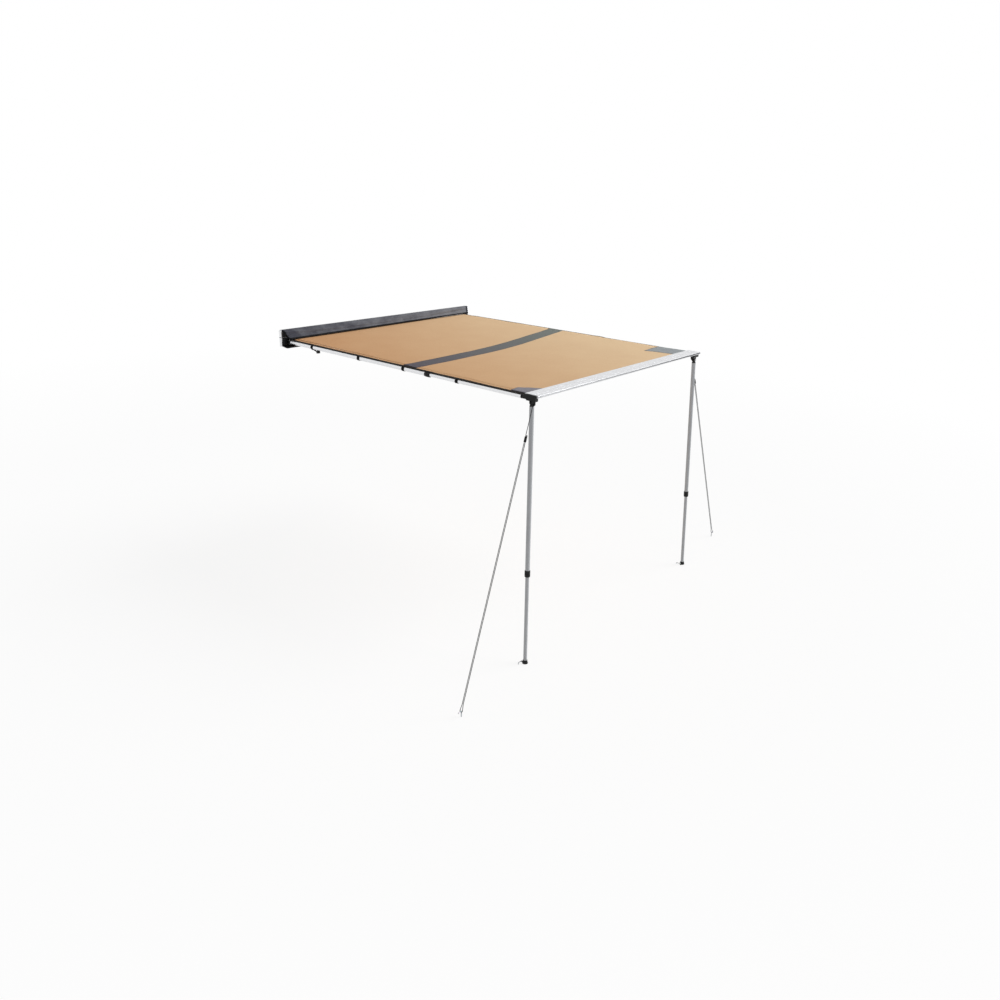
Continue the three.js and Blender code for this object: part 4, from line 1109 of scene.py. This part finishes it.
panel = cloth_grid("gutter_panel_cloth", gutter_cloth, panel_point, steps(-PANEL_HALF, PANEL_HALF, 120),
                   steps(0, PANEL_CUT, 36), PANEL_CLOTH, stands_for=["bag_lower_panel"])
panel_row = [Vector(panel_point(u, PANEL_CUT - 0.008))
             for u in steps(0.005 - PANEL_HALF, PANEL_HALF - 0.005, 200)]
panel_thread = stitches("gutter_panel_stitching", thread_grey, [panel_row], PANEL_CLOTH / 2)
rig.sheet(panel, flat=(2 * PANEL_HALF, PANEL_CUT), held="hung", rests_on=["back_board"],
         with_pieces=[panel_thread])


# Arm straps and tie straps
STRAP_WIDTH = 0.025
STRAP_GAP = 0.0005
TIE_WIDTH = 0.015
TIE_REACH = 0.048


def ribbon(name, line, width, stands_for, held, rests_on, more=(), across_axis=(0, 1, 0)):
    """Webbing along a line of points, with its width along the given axis."""
    reached = distances(line)
    axis = Vector(across_axis)
    across = steps(-width / 2, width / 2, 4)
    verts = [p + axis * v for p in line for v in across]
    cut = [(r, v, 0) for r in reached for v in across]
    faces = [(i * 5 + k, i * 5 + k + 1, i * 5 + k + 6, i * 5 + k + 5)
             for i in range(len(line) - 1) for k in range(4)]
    made = piece(name, verts, faces, black_webbing, cut, stands_for=stands_for)
    modify(made, "thickness", "SOLIDIFY", thickness=WEBBING, offset=0)
    modify(made, "edge", "BEVEL", width=0.0005, segments=2, limit_method="ANGLE",
           angle_limit=math.radians(60))
    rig.sheet(made, flat=(width, reached[-1]), held=held, rests_on=rests_on, with_pieces=more)


def strap_line(sign, forward, tube_radius):
    """From under the hem, over the arm and round its outer side."""
    r = tube_radius + STRAP_GAP + WEBBING / 2
    start, _, turn = hem_line(forward)
    under = CANVAS / 2 + GAP + WEBBING / 2
    flat = [(o, start.y - (o - start.x) * math.tan(turn) - under) for o in (-0.024, -0.0155, -0.0085)]
    arc = [(r * math.cos(a), r * math.sin(a)) for a in steps(math.pi / 2, -math.pi / 2, 24)]
    line = [*flat, *arc, (-0.008, -r)]
    smooth = smooth_line(line, 64)
    return [Vector((sign * (ARM_X + p.x), -forward, p.y - ARM_DROP)) for p in smooth]


for side in SIDES:
    for i, forward in enumerate(STRAP_PLACES):
        radius = OUTER_RADIUS if forward < ARM_COLLAR else INNER_RADIUS
        line = strap_line(side.sign, forward, radius)
        low = [[p + Vector((0, offset, -WEBBING / 2)) for p in line[-9:]] for offset in (-0.009, 0.009)]
        thread = stitches(f"arm_webbing_stitching_{side.name}_{i + 1}", thread_grey, low, 0.0, pitch=0.004)
        tube = f"arm_tube_{'outer' if forward < ARM_COLLAR else 'inner'}_{side.name}"
        ribbon(f"arm_webbing_{side.name}_{i + 1}", line, STRAP_WIDTH, [f"arm_strap_{side.name}_{i + 1}"],
               "folded", [tube], [thread])
    top = -ARM_DROP - OUTER_RADIUS - STRAP_GAP - WEBBING - GAP - WEBBING / 2
    start = STRAP_PLACES[0] - STRAP_WIDTH / 2
    end = STRAP_PLACES[0] + TIE_REACH
    line = smooth_line([(-start, top), (-start - 0.0125, top), (-start - 0.025, top - 0.0002),
                        (-start - 0.042, top - 0.0050), (-end, top - 0.008)], 30)
    line = [Vector((side.sign * ARM_X, p.x, p.y)) for p in line]
    ribbon(f"tie_webbing_{side.name}", line, TIE_WIDTH, [f"tie_strap_{side.name}"], "hung",
           [f"arm_webbing_{side.name}_1"], across_axis=(1, 0, 0))


# Tubes, twist locks and pegs

def pipe(name, matrix, outer, bore, low, high, look, body, stands_for):
    c = 0.0006
    profile = [(bore, low), (outer - c, low), (outer, low + c)]
    profile += [(outer, z) for z in steps(low + c, high - c, 12)[1:-1]]
    profile += [(outer, high - c), (outer - c, high), (bore, high)]
    verts, faces, cut = turned(profile, matrix)
    piece(name, verts, faces, look, cut, body, [stands_for], 30)


def grip(angle, r):
    """Shallow flutes round the middle of a twist lock."""
    if r < COLLAR_RADIUS - 0.0004:
        return 0.0
    return -0.0006 * max(0.0, math.cos(angle * 18))


def twist_lock(name, matrix, middle, body, stands_for):
    half, c, r = COLLAR_LENGTH / 2, 0.0025, COLLAR_RADIUS
    profile = [
        (0.016, -half), (r - c, -half), (r - c * 0.3, -half + c * 0.3), (r - 0.0005, -half + c),
        (r - 0.0005, -half + 0.006), (r, -half + 0.007), (r, -0.0016), (r - 0.0012, -0.0012),
        (r - 0.0012, 0.0012), (r, 0.0016), (r, half - 0.007), (r - 0.0005, half - 0.006),
        (r - 0.0005, half - c), (r - c * 0.3, half - c * 0.3), (r - c, half), (0.0135, half),
        (0.0135, 0), (0.016, 0),
    ]
    profile = [(a, b + middle) for a, b in profile]
    verts, faces, cut = turned(profile, matrix, 108, grip)
    piece(name, verts, faces, black_nylon, cut, body, [stands_for], 38)


def leg_frame(side):
    pivot = Vector((side.sign * (ARM_X - LEG_PIVOT_REACH), side.leg_inset - PROJECTION, -LEG_PIVOT_DROP))
    foot = Vector((side.sign * (ARM_X + side.foot_past), -PROJECTION - side.foot_ahead, GROUND))
    down = (foot - pivot).normalized()
    hinge = Vector((0, down.z, -down.y)).normalized() * side.sign
    tilt = down.angle(Vector((0, 0, -1)))
    length = (pivot.z - GROUND - FOOT_RADIUS * math.sin(tilt)) / math.cos(tilt)
    return frame_of(hinge.cross(down), hinge, down, pivot), length


def telescope(side, limb, words, place, look, start, middle, end):
    """The two tubes of an arm or a leg, and the twist lock where the inner one goes in."""
    outer, inner = (f"{limb}_{word}_tube_{side.name}" for word in words)
    pipe(f"{limb}_tube_outer_{side.name}", place, OUTER_RADIUS, OUTER_BORE, start, middle - GAP, look,
         f"{limb}_{side.name}", outer)
    pipe(f"{limb}_tube_inner_{side.name}", place, INNER_RADIUS, INNER_BORE, middle - TUBE_OVERLAP, end,
         look, f"{limb}_reach_{side.name}", inner)
    twist_lock(f"{limb}_twist_lock_{side.name}", place, middle, f"{limb}_lock_{side.name}",
               f"{limb}_lock_collar_{side.name}")


for side in SIDES:
    arm = Matrix.Translation((side.sign * ARM_X, -side.arm_pivot, -ARM_DROP))
    telescope(side, "arm", ("rear", "front"), arm @ Matrix.Rotation(math.pi / 2, 4, "X"), arm_metal,
              ARM_TUBE_START, ARM_COLLAR - side.arm_pivot, PROJECTION - ARM_TUBE_INSET - side.arm_pivot)
    leg, length = leg_frame(side)
    telescope(side, "leg", ("upper", "lower"), leg, leg_metal, LEG_TUBE_START, length * LEG_COLLAR_SHARE,
              length - LEG_TUBE_INSET)
    high = length - FOOT_EAR_RAISE - FOOT_EAR_THICKNESS - GAP - STAPLE_BEND
    low = length + STAPLE_DEPTH
    far = side.hand * STAPLE_SPAN
    corners = [Vector((across, FOOT_EAR_REACH, z)) for across, z in
               ((0, low), (0, high), (far, high), (far, low))]
    line = [corners[0], *rounded_corner(*corners[:3], STAPLE_BEND, 8),
            *rounded_corner(*corners[1:], STAPLE_BEND, 8), corners[3]]
    place = leg @ Matrix.Rotation(side.ear_turn, 4, "Z")
    verts, faces, cut = swept([place @ p for p in line], STAPLE_RADIUS, 16)
    name = f"foot_peg_{side.name}"
    piece(f"foot_staple_{side.name}", verts, faces, zinc_steel, cut, name, [name], 50)


# CAD solids that stay, with softened edges

def dress(node, look, width=0.0006):
    shown = nodes[node]
    mesh = shown.data
    for layer in ("custom_normal", "sharp_edge", "sharp_face"):
        if layer in mesh.attributes:
            mesh.attributes.remove(mesh.attributes[layer])
    mesh.polygons.foreach_set("use_smooth", [True] * len(mesh.polygons))
    mesh.materials.clear()
    mesh.materials.append(look.material)
    modify(shown, "weld", "WELD", merge_threshold=0.00001)
    modify(shown, "edge", "BEVEL", width=width, segments=2, limit_method="ANGLE",
           angle_limit=math.radians(34), harden_normals=True)
    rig.slot(shown, look.slot)


dress("back_board", shaded_board_metal, 0.0005)
dress("front_rail", rail_metal, 0.0005)
for side in SIDES:
    dress(f"board_end_cap_{side.name}", cap_metal, 0.0005)
    for node in ("rail_corner", "arm_bracket", "arm_eye", "arm_tongue", "leg_knuckle", "leg_foot",
                 "tie_buckle", "guy_runner"):
        dress(f"{node}_{side.name}", black_nylon)
    for node in ("arm_pin", "leg_pin"):
        dress(f"{node}_{side.name}", zinc_steel, 0.0004)


# Painted shadow strip along the front rail's face, and a dark seam across each end cap
RAIL_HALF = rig.box("front_rail")[1].x
SHADOW_STRIP_INSET = 0.004
SHADOW_STRIP_DROP = 0.010
SHADOW_STRIP_HEIGHT = 0.008
SEAM_UP = 0.008
SEAM_RADIUS = 0.0016


def shadow_strip_point(u, v):
    """A place on the painted shadow strip, whose face has small ribs along it."""
    return (u, -PROJECTION - 0.0004, v - SHADOW_STRIP_DROP - 0.0004 * math.cos(v * 780))


# A dark strip on the rail's face, painted as the shadow line under its front lip.
cloth_grid("rail_front_seal", rail_seal, shadow_strip_point,
           steps(-RAIL_HALF + SHADOW_STRIP_INSET, RAIL_HALF - SHADOW_STRIP_INSET, 60), steps(0, SHADOW_STRIP_HEIGHT, 6), 0.0006)
for side in SIDES:
    low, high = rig.box(f"board_end_cap_{side.name}")
    face = low.x if side.sign < 0 else high.x
    seam = [(face, y, SEAM_UP) for y in steps(low.y + 0.002, high.y - 0.002, 6)]
    verts, faces, cut = swept(seam, SEAM_RADIUS, 10)
    piece(f"end_cap_seam_{side.name}", verts, faces, black_nylon, cut, sharp=50)


# Stage and light
FLOOR_RADIUS = 60
FLOOR_SIDES = 64
FLOOR_COLOUR = (0.97, 0.97, 0.97, 1)
FLOOR_WHITE = {"From Min": 4.0, "From Max": 9.0, "To Min": 0.84, "To Max": 1.0}
WORLD_COLOUR = (1, 1, 1, 1)
WORLD_STRENGTH = 0.45
LAMPS = (("key", 1.85, 35, (0.60, -0.47, 0.65)), ("side", 0.9, 25, (0.78, -0.62, 0.05)))


def empty_tree(owner):
    owner.use_nodes = True
    owner.node_tree.nodes.clear()
    return owner.node_tree


def seen_by(tree, share):
    """share for camera, glossy and transmission rays, and 0 for the others."""
    path = add_node(tree, "LightPath").outputs
    total = path["Is Camera Ray"]
    for ray in ("Is Glossy Ray", "Is Transmission Ray"):
        total = add_node(tree, "Math", {0: total, 1: path[ray]}, operation="MAXIMUM").outputs[0]
    return add_node(tree, "Math", {0: total, 1: share}, operation="MULTIPLY").outputs[0]


def end_tree(tree, kind, lit, seen, share):
    """Ends a tree in its lit shader, with a share of the seen one over it where seen_by gives it."""
    inputs = {0: seen_by(tree, share), 1: lit.outputs[0], 2: seen.outputs[0]}
    add_node(tree, kind, {"Surface": add_node(tree, "MixShader", inputs).outputs[0]})


def build_stage():
    floor_mesh = bpy.data.meshes.new("floor")
    ring = [(FLOOR_RADIUS * math.cos(a), FLOOR_RADIUS * math.sin(a), GROUND)
            for a in steps(0, 2 * math.pi, FLOOR_SIDES)[:-1]]
    floor_mesh.from_pydata(ring, [], [tuple(range(FLOOR_SIDES))])
    look = bpy.data.materials.new("floor_white")
    tree = empty_tree(look)
    where = add_node(tree, "TexCoord").outputs["Object"]
    flat = add_node(tree, "VectorMath", {0: where, 1: (1, 1, 0)}, operation="MULTIPLY")
    far = add_node(tree, "VectorMath", {0: flat.outputs[0]}, operation="LENGTH").outputs["Value"]
    white = add_node(tree, "MapRange", {**FLOOR_WHITE, "Value": far})
    matt = add_node(tree, "BsdfDiffuse", {"Color": FLOOR_COLOUR})
    end_tree(tree, "OutputMaterial", matt, add_node(tree, "Emission"), white.outputs[0])
    floor_mesh.materials.append(look)
    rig.stage(add_object("floor", floor_mesh))


def build_light():
    world = bpy.data.worlds.new("studio")
    scene.world = world
    tree = empty_tree(world)
    soft = add_node(tree, "Background", {"Color": WORLD_COLOUR, "Strength": WORLD_STRENGTH})
    end_tree(tree, "OutputWorld", soft, add_node(tree, "Background", {"Color": WORLD_COLOUR}), 1.0)
    for name, energy, width, towards in LAMPS:
        lamp = add_object(name, bpy.data.lights.new(name, "SUN"))
        lamp.data.energy = energy
        lamp.data.angle = math.radians(width)
        lamp.rotation_mode = "QUATERNION"
        lamp.rotation_quaternion = Vector(towards).to_track_quat("Z", "Y")


build_stage()
build_light()
scene.view_settings.view_transform = "Standard"

with open("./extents.json", "w") as out:
    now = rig.bounds()
    json.dump({"cad": [list(c) for c in cad_box], "visual": [list(c) for c in now]}, out)
